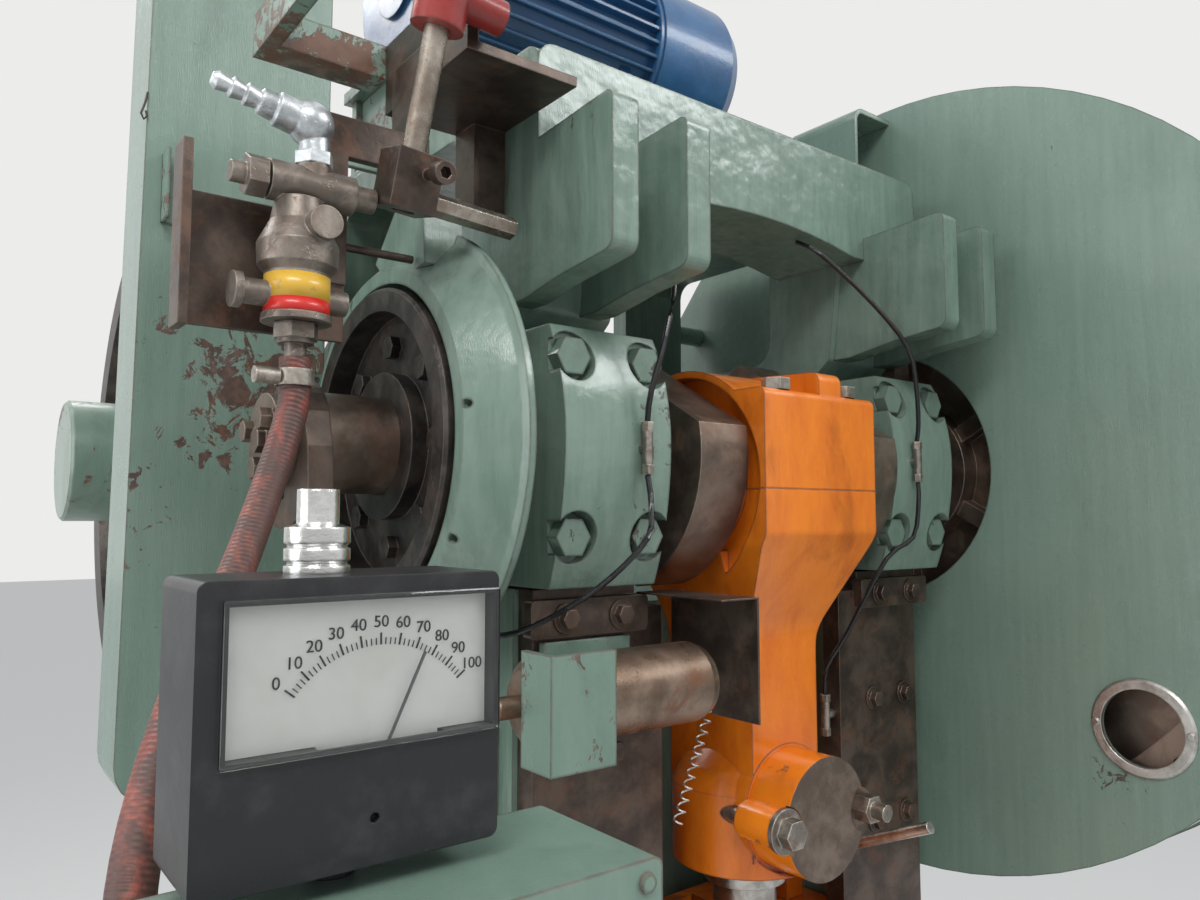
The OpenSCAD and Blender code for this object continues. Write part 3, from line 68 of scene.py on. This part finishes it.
class Finish:
    """Builds the nodes of one material, with patterns laid out in metres on the object."""

    def __init__(self, name):
        self.material = bpy.data.materials.new(name)
        self.material.use_nodes = True
        self.tree = self.material.node_tree
        self.shader = self.tree.nodes["Principled BSDF"]
        self.place = self.add("ShaderNodeTexCoord").outputs["Object"]

    def add(self, kind, **settings):
        node = self.tree.nodes.new(kind)
        for key, value in settings.items():
            setattr(node, key, value)
        return node

    def join(self, value, socket):
        if isinstance(value, bpy.types.NodeSocket):
            self.tree.links.new(value, socket)
        else:
            socket.default_value = value

    def stretched(self, stretch, turn=(0, 0, 0)):
        mapping = self.add("ShaderNodeMapping")
        self.join(self.place, mapping.inputs["Vector"])
        mapping.inputs["Scale"].default_value = stretch
        mapping.inputs["Rotation"].default_value = [math.radians(a) for a in turn]
        return mapping.outputs["Vector"]

    def noise(self, scale, detail=4, rough=0.55, distortion=0, stretch=None, turn=(0, 0, 0)):
        node = self.add("ShaderNodeTexNoise")
        self.join(self.stretched(stretch, turn) if stretch else self.place, node.inputs["Vector"])
        node.inputs["Scale"].default_value = scale
        node.inputs["Detail"].default_value = detail
        node.inputs["Roughness"].default_value = rough
        node.inputs["Distortion"].default_value = distortion
        return node.outputs["Fac"]

    def calc(self, kind, a, b=0.5):
        node = self.add("ShaderNodeMath", operation=kind)
        self.join(a, node.inputs[0])
        self.join(b, node.inputs[1])
        return node.outputs[0]

    def step(self, value, low, high):
        """0 below low, 1 above high, with a smooth rise between them."""
        node = self.add("ShaderNodeMapRange", interpolation_type="SMOOTHSTEP")
        self.join(value, node.inputs["Value"])
        node.inputs["From Min"].default_value = low
        node.inputs["From Max"].default_value = high
        return node.outputs["Result"]

    def blend(self, amount, a, b):
        node = self.add("ShaderNodeMix", data_type="RGBA")
        self.join(amount, node.inputs[0])
        for socket, value in ((node.inputs[6], a), (node.inputs[7], b)):
            self.join(value if isinstance(value, bpy.types.NodeSocket) else (*value, 1), socket)
        return node.outputs[2]

    def between(self, amount, low, high):
        node = self.add("ShaderNodeMapRange")
        self.join(amount, node.inputs["Value"])
        node.inputs["To Min"].default_value = low
        node.inputs["To Max"].default_value = high
        return node.outputs["Result"]

    def soft_edges(self, radius):
        node = self.add("ShaderNodeBevel", samples=4)
        node.inputs["Radius"].default_value = radius
        return node.outputs["Normal"]

    def edges(self, soft):
        """1 where the surface turns sharply, 0 on its flat stretches."""
        dot = self.add("ShaderNodeVectorMath", operation="DOT_PRODUCT")
        self.join(soft, dot.inputs[0])
        self.join(self.add("ShaderNodeNewGeometry").outputs["Normal"], dot.inputs[1])
        return self.calc("SUBTRACT", 1.0, dot.outputs["Value"])

    def bump(self, height, strength, depth, normal=None):
        node = self.add("ShaderNodeBump")
        self.join(height, node.inputs["Height"])
        node.inputs["Strength"].default_value = strength
        node.inputs["Distance"].default_value = depth
        if normal is not None:
            self.join(normal, node.inputs["Normal"])
        return node.outputs["Normal"]

    def finish(self, colour, rough, normal=None, metal=0.0, coat=0.0, coat_rough=0.1, specular=0.5):
        self.join(colour if isinstance(colour, bpy.types.NodeSocket) else (*colour, 1),
                  self.shader.inputs["Base Color"])
        self.join(rough, self.shader.inputs["Roughness"])
        self.join(metal, self.shader.inputs["Metallic"])
        self.shader.inputs["Specular IOR Level"].default_value = specular
        self.shader.inputs["Coat Weight"].default_value = coat
        self.shader.inputs["Coat Roughness"].default_value = coat_rough
        if normal is not None:
            self.join(normal, self.shader.inputs["Normal"])
        return self.material


def paint(name, colour, shade, under, chips, lumps, gloss, grime=0.5, streak=(9, 9, 1.2), rust=0.0,
          edge=0.004):
    """Brushed-on machine paint with streaks, lumps of the casting, chips at the edges and grime."""
    m = Finish(name)
    soft = m.soft_edges(edge)
    rim = m.edges(soft)
    strokes = m.noise(7, 5, 0.6, 0.4, streak)
    cloud = m.noise(3.1, 5, 0.6)
    tone = m.calc("ADD", m.calc("MULTIPLY", strokes, 0.5), m.calc("MULTIPLY", cloud, 0.5))
    body = m.blend(m.step(tone, 0.34, 0.68), shade, colour)
    speck = m.noise(150, 3, 0.7)
    body = m.blend(m.calc("MULTIPLY", m.step(speck, 0.60, 0.72), 0.12), body, [c * 0.45 for c in colour])
    where = m.noise(4.3, 3, 0.5)
    bits = m.noise(42, 6, 0.72, 0.6)
    flat_chip = m.step(m.calc("ADD", m.calc("MULTIPLY", where, 0.7), m.calc("MULTIPLY", bits, 0.6)),
                       0.86 - chips * 0.2, 0.875 - chips * 0.2)
    edge_chip = m.step(m.calc("ADD", m.calc("MULTIPLY", rim, 1.4), m.calc("MULTIPLY", bits, 0.8)),
                       0.62 - chips * 0.18, 0.66 - chips * 0.18)
    edge_chip = m.calc("MULTIPLY", edge_chip, m.step(rim, 0.04, 0.10))
    chip = m.calc("MAXIMUM", flat_chip, edge_chip)
    under_tone = m.blend(m.step(m.noise(60, 4), 0.4, 0.65), under, [c * 1.9 for c in under])
    if rust:
        under_tone = m.blend(m.calc("MULTIPLY", m.step(m.noise(23, 5), 0.45, 0.6), rust), under_tone,
                             (0.16, 0.055, 0.02))
    dirt = m.step(m.noise(11, 6, 0.65, 0.5, (1, 1, 0.35)), 0.52, 0.74)
    body = m.blend(m.calc("MULTIPLY", dirt, grime), body, [c * 0.30 for c in shade])
    body = m.blend(chip, body, under_tone)
    low = m.noise(16, 3, 0.5)
    fine = m.noise(95, 4, 0.6, 0.2, streak)
    height = m.calc("ADD", m.calc("MULTIPLY", low, lumps), m.calc("MULTIPLY", fine, 0.10))
    height = m.calc("SUBTRACT", height, m.calc("MULTIPLY", chip, 0.12))
    normal = m.bump(height, 0.55, 0.006, soft)
    rough = m.calc("ADD", m.between(m.noise(21, 4), gloss, gloss + 0.16), m.calc("MULTIPLY", chip, 0.25))
    return m.finish(body, rough, normal, coat=0.25, coat_rough=0.12)


def steel(name, dark, light, rust=0.0, rough=0.35, metal=0.9, brushed=None, scale=20, pits=0.2, smear=0.4,
          edge=0.002, shine=0.5):
    """Bare steel, from bright and brushed to brown with old oil."""
    m = Finish(name)
    soft = m.soft_edges(edge)
    rim = m.edges(soft)
    cloud = m.noise(scale, 6, 0.65, 0.3)
    body = m.blend(m.step(cloud, 0.38, 0.66), dark, light)
    body = m.blend(m.calc("MULTIPLY", m.step(rim, 0.03, 0.16), shine), body,
                   [min(1, c * 2.2 + 0.05) for c in light])
    stain = m.step(m.noise(scale * 0.45, 6, 0.7, 0.8), 0.50, 0.66)
    body = m.blend(m.calc("MULTIPLY", stain, smear), body, [c * 0.35 for c in dark])
    patch = m.step(m.noise(scale * 1.3, 7, 0.75, 0.4), 0.52, 0.62)
    body = m.blend(m.calc("MULTIPLY", patch, rust), body, (0.17, 0.065, 0.028))
    grain = m.noise(130, 3, 0.6, 0, brushed) if brushed else m.noise(170, 4, 0.7)
    height = m.calc("ADD", m.calc("MULTIPLY", grain, 0.35),
                   m.calc("MULTIPLY", m.step(m.noise(75, 4, 0.7), 0.55, 0.7), -pits))
    normal = m.bump(height, 0.35, 0.0016, soft)
    roughness = m.calc("ADD", m.between(cloud, rough - 0.08, rough + 0.14),
                      m.calc("MULTIPLY", patch, rust * 0.3))
    return m.finish(body, roughness, normal,
                    metal=m.between(m.calc("MULTIPLY", patch, rust), metal, metal * 0.25))


def plastic(name, colour, rough, grain=300, depth=0.0002, dust=0.1, coat=0.0):
    """Moulded plastic or rubber with a fine grain and some dust."""
    m = Finish(name)
    soft = m.soft_edges(0.0012)
    dusty = m.step(m.noise(26, 5, 0.65), 0.48, 0.75)
    body = m.blend(m.calc("MULTIPLY", dusty, dust), colour, [c * 0.7 + 0.10 for c in colour])
    normal = m.bump(m.noise(grain, 3, 0.6), 0.5, depth, soft)
    return m.finish(body, m.between(m.noise(31, 4), rough - 0.06, rough + 0.1), normal, coat=coat)


GREEN = (0.205, 0.290, 0.238)
green_cast = paint("green_cast_paint", GREEN, (0.135, 0.205, 0.165), (0.055, 0.045, 0.038), 0.30, 1.3, 0.12,
                   0.5)
green_sheet = paint("green_sheet_paint", (0.200, 0.288, 0.235), (0.165, 0.242, 0.198), (0.06, 0.045, 0.04),
                    0.10, 0.10, 0.20, 0.18, streak=(12, 12, 0.7))
green_chipped = paint("green_chipped_paint", (0.215, 0.310, 0.255), (0.170, 0.250, 0.205),
                      (0.075, 0.045, 0.035), 0.34, 0.12, 0.18, 0.3, streak=(10, 10, 0.8), rust=0.4)
green_worn = paint("green_worn_paint", GREEN, (0.17, 0.26, 0.21), (0.10, 0.07, 0.055), 0.62, 0.25, 0.22,
                   0.35, rust=0.6)
green_bolt = paint("green_bolt_paint", (0.19, 0.275, 0.22), (0.12, 0.18, 0.145), (0.045, 0.038, 0.033), 0.75,
                   0.7, 0.24, 0.6, streak=(3, 3, 3))
orange_paint = paint("orange_gloss_paint", (0.87, 0.235, 0.014), (0.68, 0.145, 0.010), (0.05, 0.035, 0.03),
                     0.20, 0.8, 0.11, 0.5, streak=(4, 4, 1.4))
blue_paint = paint("blue_motor_paint", (0.022, 0.115, 0.27), (0.014, 0.075, 0.19), (0.05, 0.05, 0.05), 0.05,
                   0.5, 0.24, 0.3, streak=(3, 3, 3))
red_paint = paint("red_knob_paint", (0.33, 0.025, 0.02), (0.20, 0.015, 0.012), (0.08, 0.05, 0.045), 0.45,
                  0.6, 0.28, 0.6, streak=(3, 3, 3))

brown_steel = steel("brown_oiled_steel", (0.060, 0.042, 0.034), (0.135, 0.098, 0.078), 0.35, 0.34, 0.55,
                    scale=17)
black_steel = steel("black_oily_steel", (0.022, 0.019, 0.017), (0.055, 0.046, 0.040), 0.15, 0.36, 0.5,
                    scale=15)
dark_iron = steel("dark_cast_iron", (0.035, 0.031, 0.029), (0.085, 0.073, 0.064), 0.12, 0.36, 0.6, scale=24,
                  pits=0.6)
turned_steel = steel("turned_brown_steel", (0.14, 0.105, 0.085), (0.27, 0.21, 0.17), 0.30, 0.30, 0.85,
                     brushed=(1, 40, 40), scale=13)
rusty_steel = steel("rusty_tube_steel", (0.15, 0.10, 0.07), (0.30, 0.22, 0.17), 0.75, 0.26, 0.8,
                    brushed=(30, 30, 1), scale=14, smear=0.25)
bright_steel = steel("bright_steel", (0.40, 0.39, 0.36), (0.62, 0.61, 0.58), 0.15, 0.28, 1.0, scale=40,
                     smear=0.3)
bolt_steel = steel("bolt_head_steel", (0.22, 0.20, 0.175), (0.42, 0.385, 0.34), 0.45, 0.34, 0.85, scale=50,
                   smear=0.5)
rod_steel = steel("square_rod_steel", (0.22, 0.18, 0.145), (0.46, 0.41, 0.36), 0.25, 0.24, 0.9,
                  brushed=(60, 60, 2), scale=16, smear=0.35)
zinc = steel("zinc_casting", (0.42, 0.45, 0.47), (0.70, 0.73, 0.75), 0.05, 0.34, 0.85, scale=60, pits=0.9,
             smear=0.25)
chrome = steel("chrome_plate", (0.60, 0.60, 0.59), (0.80, 0.80, 0.79), 0.05, 0.16, 1.0, scale=60, smear=0.1,
               pits=0.05)
bronze = steel("bearing_bronze", (0.30, 0.19, 0.09), (0.50, 0.34, 0.17), 0.05, 0.35, 0.9, scale=30)
valve_metal = steel("valve_casting", (0.15, 0.125, 0.105), (0.28, 0.24, 0.205), 0.25, 0.36, 0.55, scale=34,
                    pits=0.8, smear=0.35)
belt_rubber = plastic("belt_rubber", (0.022, 0.021, 0.020), 0.55, 260, 0.0004, 0.25)
nylon = plastic("black_nylon", (0.012, 0.012, 0.013), 0.24, 200, 0.0001, 0.08)
meter_black = plastic("black_meter_moulding", (0.016, 0.016, 0.018), 0.30, 420, 0.00025, 0.22)


# Printed and worn finishes that only one piece has

def hose_finish():
    """Red braided hose: fine slanted weave, black where the cover has rubbed through."""
    m = Finish("red_hose_cover")
    wave = m.add("ShaderNodeTexWave", wave_type="BANDS", bands_direction="DIAGONAL")
    m.join(m.stretched((1, 1, 1), (0, 35, 20)), wave.inputs["Vector"])
    wave.inputs["Scale"].default_value = 95
    wave.inputs["Distortion"].default_value = 1.2
    wave.inputs["Detail"].default_value = 2
    worn = m.noise(30, 6, 0.7, 0.5, (1, 1, 0.6), (0, 30, 0))
    broad = m.noise(9, 3, 0.5)
    dark = m.step(m.calc("ADD", m.calc("MULTIPLY", worn, 0.7), m.calc("MULTIPLY", broad, 0.45)), 0.46, 0.60)
    body = m.blend(m.step(m.noise(18, 4), 0.3, 0.7), (0.25, 0.055, 0.038), (0.42, 0.11, 0.075))
    body = m.blend(m.calc("MULTIPLY", dark, 0.85), body, (0.055, 0.042, 0.038))
    body = m.blend(m.calc("MULTIPLY", m.step(wave.outputs["Fac"], 0.55, 0.9), 0.25), body, (0.09, 0.05, 0.04))
    height = m.calc("ADD", m.calc("MULTIPLY", wave.outputs["Fac"], 0.5),
                   m.calc("MULTIPLY", m.noise(140, 3), 0.4))
    return m.finish(body, 0.52, m.bump(height, 0.6, 0.0012))


def label_finish(name, colour):
    m = Finish(name)
    scuffed = m.step(m.noise(120, 6, 0.7), 0.58, 0.66)
    body = m.blend(m.calc("MULTIPLY", scuffed, 0.45), colour, [c * 0.4 + 0.03 for c in colour])
    return m.finish(body, 0.32, m.bump(m.noise(180, 3), 0.3, 0.0003), coat=0.2)


def dial_finish():
    m = Finish("dial_white")
    aged = m.noise(14, 5, 0.6)
    body = m.blend(m.step(aged, 0.4, 0.75), (0.88, 0.88, 0.87), (0.79, 0.785, 0.76))
    return m.finish(body, 0.42, m.bump(m.noise(240, 2), 0.15, 0.0001))


def clear_finish():
    m = Finish("clear_cover")
    m.shader.inputs["Transmission Weight"].default_value = 1.0
    m.shader.inputs["IOR"].default_value = 1.46
    smudge = m.step(m.noise(22, 6, 0.7), 0.5, 0.8)
    return m.finish((0.96, 0.97, 0.96), m.between(smudge, 0.015, 0.10))


def clamp_finish():
    """Orange on the rim, brown bare steel on the machined face that looks to the front."""
    m = Finish("clamp_cap_finish")
    soft = m.soft_edges(0.003)
    split = m.add("ShaderNodeSeparateXYZ")
    m.join(m.add("ShaderNodeNewGeometry").outputs["Normal"], split.inputs[0])
    bare = m.step(m.calc("MULTIPLY", split.outputs["Y"], -1), 0.80, 0.95)
    bits = m.step(m.noise(38, 6, 0.7), 0.60, 0.64)
    bare = m.calc("MAXIMUM", bare, m.calc("MULTIPLY", bits, 0.8))
    brown = m.blend(m.step(m.noise(24, 6, 0.7), 0.38, 0.66), (0.115, 0.082, 0.062), (0.215, 0.160, 0.125))
    orange = m.blend(m.step(m.noise(9, 4), 0.4, 0.7), (0.87, 0.235, 0.014), (0.60, 0.125, 0.010))
    body = m.blend(bare, orange, brown)
    normal = m.bump(m.noise(90, 4, 0.65), 0.3, 0.0015, soft)
    return m.finish(body, m.between(bare, 0.16, 0.40), normal, metal=m.calc("MULTIPLY", bare, 0.6), coat=0.15)


clamp_face = clamp_finish()
hose_red = hose_finish()
label_red = label_finish("label_red", (0.62, 0.022, 0.016))
label_yellow = label_finish("label_yellow", (0.72, 0.43, 0.05))
dial_white = dial_finish()
dial_grey = plastic("needle_grey", (0.13, 0.13, 0.14), 0.4, 200, 0.00005, 0.0)
dial_ink = plastic("dial_ink", (0.03, 0.03, 0.032), 0.5, 200, 0.00005, 0.0)
clear_cover = clear_finish()
weld_metal = steel("weld_bead", (0.16, 0.15, 0.14), (0.48, 0.47, 0.45), 0.15, 0.30, 0.9, scale=90, pits=0.8)

node_finish = {
    green_cast: "frame bearing_cap_left bearing_cap_right brake_housing",
    green_bolt: "cap_bolts",
    green_sheet: "gear_guard gear_guard_cover",
    green_chipped: "belt_guard",
    green_worn: "guard_arm junction_box box_arm cylinder_bracket motor_base clutch_cover",
    orange_paint: "pitman pitman_cap slide",
    clamp_face: "clamp_cap",
    blue_paint: "motor_body motor_shroud",
    red_paint: "rod_hub",
    brown_steel: "gib_left gib_right gib_bolts valve_bracket shelf_plate clamp_block splash_shield cam_disc",
    turned_steel: "crankshaft pinion_shaft bull_gear shaft_end_cap",
    rusty_steel: "air_cylinder",
    dark_iron: "brake_drum flywheel motor_pulley",
    valve_metal: "valve_body",
    bright_steel: "bolster bolster_bolts port_ring adjusting_screw shield_spring stop_rod",
    bolt_steel: "pitman_bolts hose_clamp lube_tees",
    rod_steel: "clamp_rod cross_bar",
    zinc: "valve_elbow",
    chrome: "meter_connector",
    bronze: "main_bushes backshaft_bearings pin_bush",
    belt_rubber: "drive_belts",
    nylon: "lube_tubes",
    dial_grey: "meter_needle",
    meter_black: "meter_case",
    dial_white: "meter_dial",
    hose_red: "air_hose",
}
for finish, names in node_finish.items():
    for name in names.split():
        mesh = nodes[name].data
        mesh.materials.clear()
        mesh.materials.append(finish)


# Making of the new pieces

def piece(name, bm, finish, body, bevel=0.0, smooth=True):
    """Turns a bmesh into an object that rides on a body."""
    bmesh.ops.recalc_face_normals(bm, faces=bm.faces)
    mesh = bpy.data.meshes.new(name)
    bm.to_mesh(mesh)
    bm.free()
    mesh.materials.append(finish)
    thing = bpy.data.objects.new(name, mesh)
    bpy.context.scene.collection.objects.link(thing)
    if smooth:
        mesh.shade_smooth()
    if bevel:
        soften = thing.modifiers.new("bevel", "BEVEL")
        soften.width = bevel
        soften.segments = 2
        soften.limit_method = "ANGLE"
        soften.angle_limit = math.radians(40)
        soften.harden_normals = False
    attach(thing, body)
    return thing


def along(direction):
    """The turn that takes +Z to a direction."""
    return Vector((0, 0, 1)).rotation_difference(Vector(direction)).to_matrix().to_4x4()


def add_box(bm, low, high):
    low, high = Vector(low), Vector(high)
    made = bmesh.ops.create_cube(bm, size=1)
    bmesh.ops.scale(bm, vec=high - low, verts=made["verts"])
    bmesh.ops.translate(bm, vec=(low + high) / 2, verts=made["verts"])


def add_rod(bm, start, end, radius, sides=16):
    start, end = Vector(start), Vector(end)
    made = bmesh.ops.create_cone(bm, cap_ends=True, segments=sides, radius1=radius, radius2=radius,
                                 depth=(end - start).length)
    bmesh.ops.transform(bm, matrix=Matrix.Translation((start + end) / 2) @ along(end - start),
                        verts=made["verts"])


def smooth_path(points, per):
    """The same curve through the points as the solid hose has."""
    out = []
    for i in range(len(points) - 1):
        a, b, c, d = (points[max(0, min(len(points) - 1, i + k))] for k in (-1, 0, 1, 2))
        for k in range(per):
            t = k / per
            bend = 2 * a - 5 * b + 4 * c - d
            twist = 3 * b - a - 3 * c + d
            out.append(0.5 * (2 * b + (c - a) * t + bend * t * t + twist * t ** 3))
    return out + [points[-1]]


def curve_piece(name, points, radius, finish, body, resolution=6):
    curve = bpy.data.curves.new(name, "CURVE")
    curve.dimensions = "3D"
    curve.bevel_depth = radius
    curve.bevel_resolution = resolution
    curve.use_fill_caps = True
    line = curve.splines.new("POLY")
    line.points.add(len(points) - 1)
    for spot, place in zip(line.points, points):
        spot.co = (*place, 1)
    line.use_smooth = True
    curve.materials.append(finish)
    thing = bpy.data.objects.new(name, curve)
    bpy.context.scene.collection.objects.link(thing)
    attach(thing, body)
    return thing


# Air hose, from the valve down behind the meter and back to the frame
hose_radius = 0.013
hose_places = [(-617, -120, 60), (-617, -120, 44), (-617, -120, 28), (-621, -121, 6), (-640, -135, -45),
               (-676, -177, -115), (-722, -235, -181), (-760, -310, -245), (-772, -345, -300),
               (-760, -330, -380), (-690, -230, -450), (-580, -60, -500), (-480, 40, -520),
               (-391.5, 60, -520)]
hose_line = smooth_path([at_crank(*p) for p in hose_places], 4)
hose = curve_piece("hose", hose_line, hose_radius, hose_red, "frame_body", 8)
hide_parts("air_hose")


# Stroke meter: scale, numbers and the clear cover over them
needle_pivot = (-676, -196)
dial_y = -431.4
scale_start = 142
scale_sweep = 104
scale_steps = 40
scale_inner = 56
long_mark = 62
short_mark = 59.5
number_radius = 67.5


def on_dial(radius, angle):
    """A place on the dial, at a distance and an angle from the needle's pivot."""
    turn = math.radians(angle)
    return at_crank(needle_pivot[0] + radius * math.cos(turn), dial_y,
                    needle_pivot[1] + radius * math.sin(turn))


marks = bmesh.new()
for i in range(scale_steps + 1):
    angle = scale_start - i * scale_sweep / scale_steps
    numbered = i % 4 == 0
    outer = long_mark if numbered else short_mark
    add_rod(marks, on_dial(scale_inner, angle), on_dial(outer, angle), 0.0005 if numbered else 0.0003, 6)
piece("dial_marks", marks, dial_ink, "frame_body")


def word(name, text, size, place, finish):
    """Flat letters that face the front, made a mesh before they are placed."""
    curve = bpy.data.curves.new(name, "FONT")
    curve.body = text
    curve.size = size
    curve.align_x = "CENTER"
    curve.align_y = "CENTER"
    curve.extrude = 0.0002
    letters = bpy.data.objects.new(name + "_letters", curve)
    mesh = bpy.data.meshes.new_from_object(letters)
    bpy.data.objects.remove(letters)
    mesh.transform(Matrix.Translation(place) @ Matrix.Rotation(math.radians(90), 4, "X"))
    mesh.materials.clear()
    mesh.materials.append(finish)
    thing = bpy.data.objects.new(name, mesh)
    bpy.context.scene.collection.objects.link(thing)
    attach(thing, "frame_body")


for i in range(11):
    word(f"dial_number_{i * 10}", str(i * 10), 0.0085,
         on_dial(number_radius, scale_start - i * scale_sweep / 10), dial_ink)

cover = bmesh.new()
add_box(cover, at_crank(-757, -444, -189), at_crank(-611, -440.3, -113))
piece("dial_cover", cover, clear_cover, "frame_body", 0.001, smooth=False)

# Two plain bands of the label around the air valve
valve_axis = (-617, -120)
band_radius = 0.02725
for name, low, high, finish in (("valve_label_low", 94, 108, label_red),
                                ("valve_label_high", 108, 129, label_yellow)):
    band = bmesh.new()
    add_rod(band, at_crank(*valve_axis, low), at_crank(*valve_axis, high), band_radius, 48)
    piece(name, band, finish, "frame_body")

# Small welded angle and a wire hook on the front of the belt guard
corner = bmesh.new()
add_box(corner, at_crank(-659, 211, 258), at_crank(-630, 214.8, 338))
add_box(corner, at_crank(-659, 188, 258), at_crank(-655, 214.8, 338))
piece("guard_angle", corner, green_worn, "frame_body", 0.001, smooth=False)
hook_places = ((-677, 404), (-679, 392), (-683, 378), (-680, 372), (-677, 376), (-678, 382))
hook_line = [at_crank(x, 212.6, z) for x, z in hook_places]
curve_piece("guard_hook", hook_line, 0.0013, black_steel, "frame_body", 3)

# Plate and two saddles that carry the air cylinder on the left guide plate
carrier = bmesh.new()
add_box(carrier, at_crank(-338, -87, -268), at_crank(-222, -75.2, -204))
for x in (-332, -256):
    add_box(carrier, at_crank(x, -153, -252), at_crank(x + 20, -86, -228))
piece("cylinder_carrier", carrier, green_worn, "frame_body", 0.0015, smooth=False)

# Weld beads where the arm and the hanging plate meet their neighbours
bead_pitch = 4
bead_radius = 0.0032
beads = bmesh.new()
for x, y, z, length in ((-600, -75, 298, 110), (-600, -158, 403, 14)):
    for k in range(length // bead_pitch):
        made = bmesh.ops.create_icosphere(beads, subdivisions=2, radius=bead_radius)
        bmesh.ops.translate(beads, vec=at_crank(x + bead_pitch * k, y, z), verts=made["verts"])
piece("weld_beads", beads, weld_metal, "frame_body")


# Room, a pale floor that fades into the background, and soft lamps

def room():
    world = bpy.data.worlds.new("room")
    bpy.context.scene.world = world
    world.use_nodes = True
    tree = world.node_tree
    background = tree.nodes["Background"]
    background.inputs["Strength"].default_value = 1.0
    path = tree.nodes.new("ShaderNodeLightPath")
    seen = tree.nodes.new("ShaderNodeMath")
    seen.operation = "MAXIMUM"
    tree.links.new(path.outputs["Is Camera Ray"], seen.inputs[0])
    tree.links.new(path.outputs["Is Transmission Ray"], seen.inputs[1])
    mirrored = tree.nodes.new("ShaderNodeMath")
    mirrored.operation = "MAXIMUM"
    tree.links.new(seen.outputs[0], mirrored.inputs[0])
    tree.links.new(path.outputs["Is Glossy Ray"], mirrored.inputs[1])
    mix = tree.nodes.new("ShaderNodeMix")
    mix.data_type = "RGBA"
    mix.inputs[6].default_value = (0.46, 0.48, 0.50, 1)
    mix.inputs[7].default_value = (0.84, 0.84, 0.83, 1)
    tree.links.new(mirrored.outputs[0], mix.inputs[0])
    tree.links.new(mix.outputs[2], background.inputs["Color"])

    bm = bmesh.new()
    bmesh.ops.create_grid(bm, x_segments=1, y_segments=1, size=30)
    mesh = bpy.data.meshes.new("floor")
    bm.to_mesh(mesh)
    bm.free()
    floor = bpy.data.objects.new("floor", mesh)
    bpy.context.scene.collection.objects.link(floor)
    pale = Finish("pale_floor")
    mesh.materials.append(pale.finish((0.62, 0.62, 0.61), 0.85, specular=0.1))
    pale.shader.inputs["Emission Color"].default_value = (0.84, 0.84, 0.83, 1)
    pale.shader.inputs["Emission Strength"].default_value = 0.22


def lamp(name, place, aim, size, power, colour=(1, 1, 1)):
    data = bpy.data.lights.new(name, "AREA")
    data.shape = "RECTANGLE"
    data.size, data.size_y = size
    data.energy = power
    data.color = colour
    light = bpy.data.objects.new(name, data)
    bpy.context.scene.collection.objects.link(light)
    light.location = place
    light.rotation_euler = (Vector(aim) - Vector(place)).to_track_quat("-Z", "Y").to_euler()


room()
lamp("roof_lamp_left", crank + Vector((-2.0, -2.2, 2.6)), crank, (2.2, 0.8), 75, (1.0, 0.99, 0.97))
lamp("roof_lamp_right", crank + Vector((2.0, -2.6, 2.4)), crank, (2.2, 0.8), 60, (0.97, 0.99, 1.0))
lamp("roof_lamp_back", crank + Vector((-1.2, 2.6, 2.6)), crank, (2.4, 1.0), 50)
lamp("window", crank + Vector((-3.6, 0.3, 0.4)), crank, (2.0, 2.4), 40, (0.95, 0.98, 1.0))
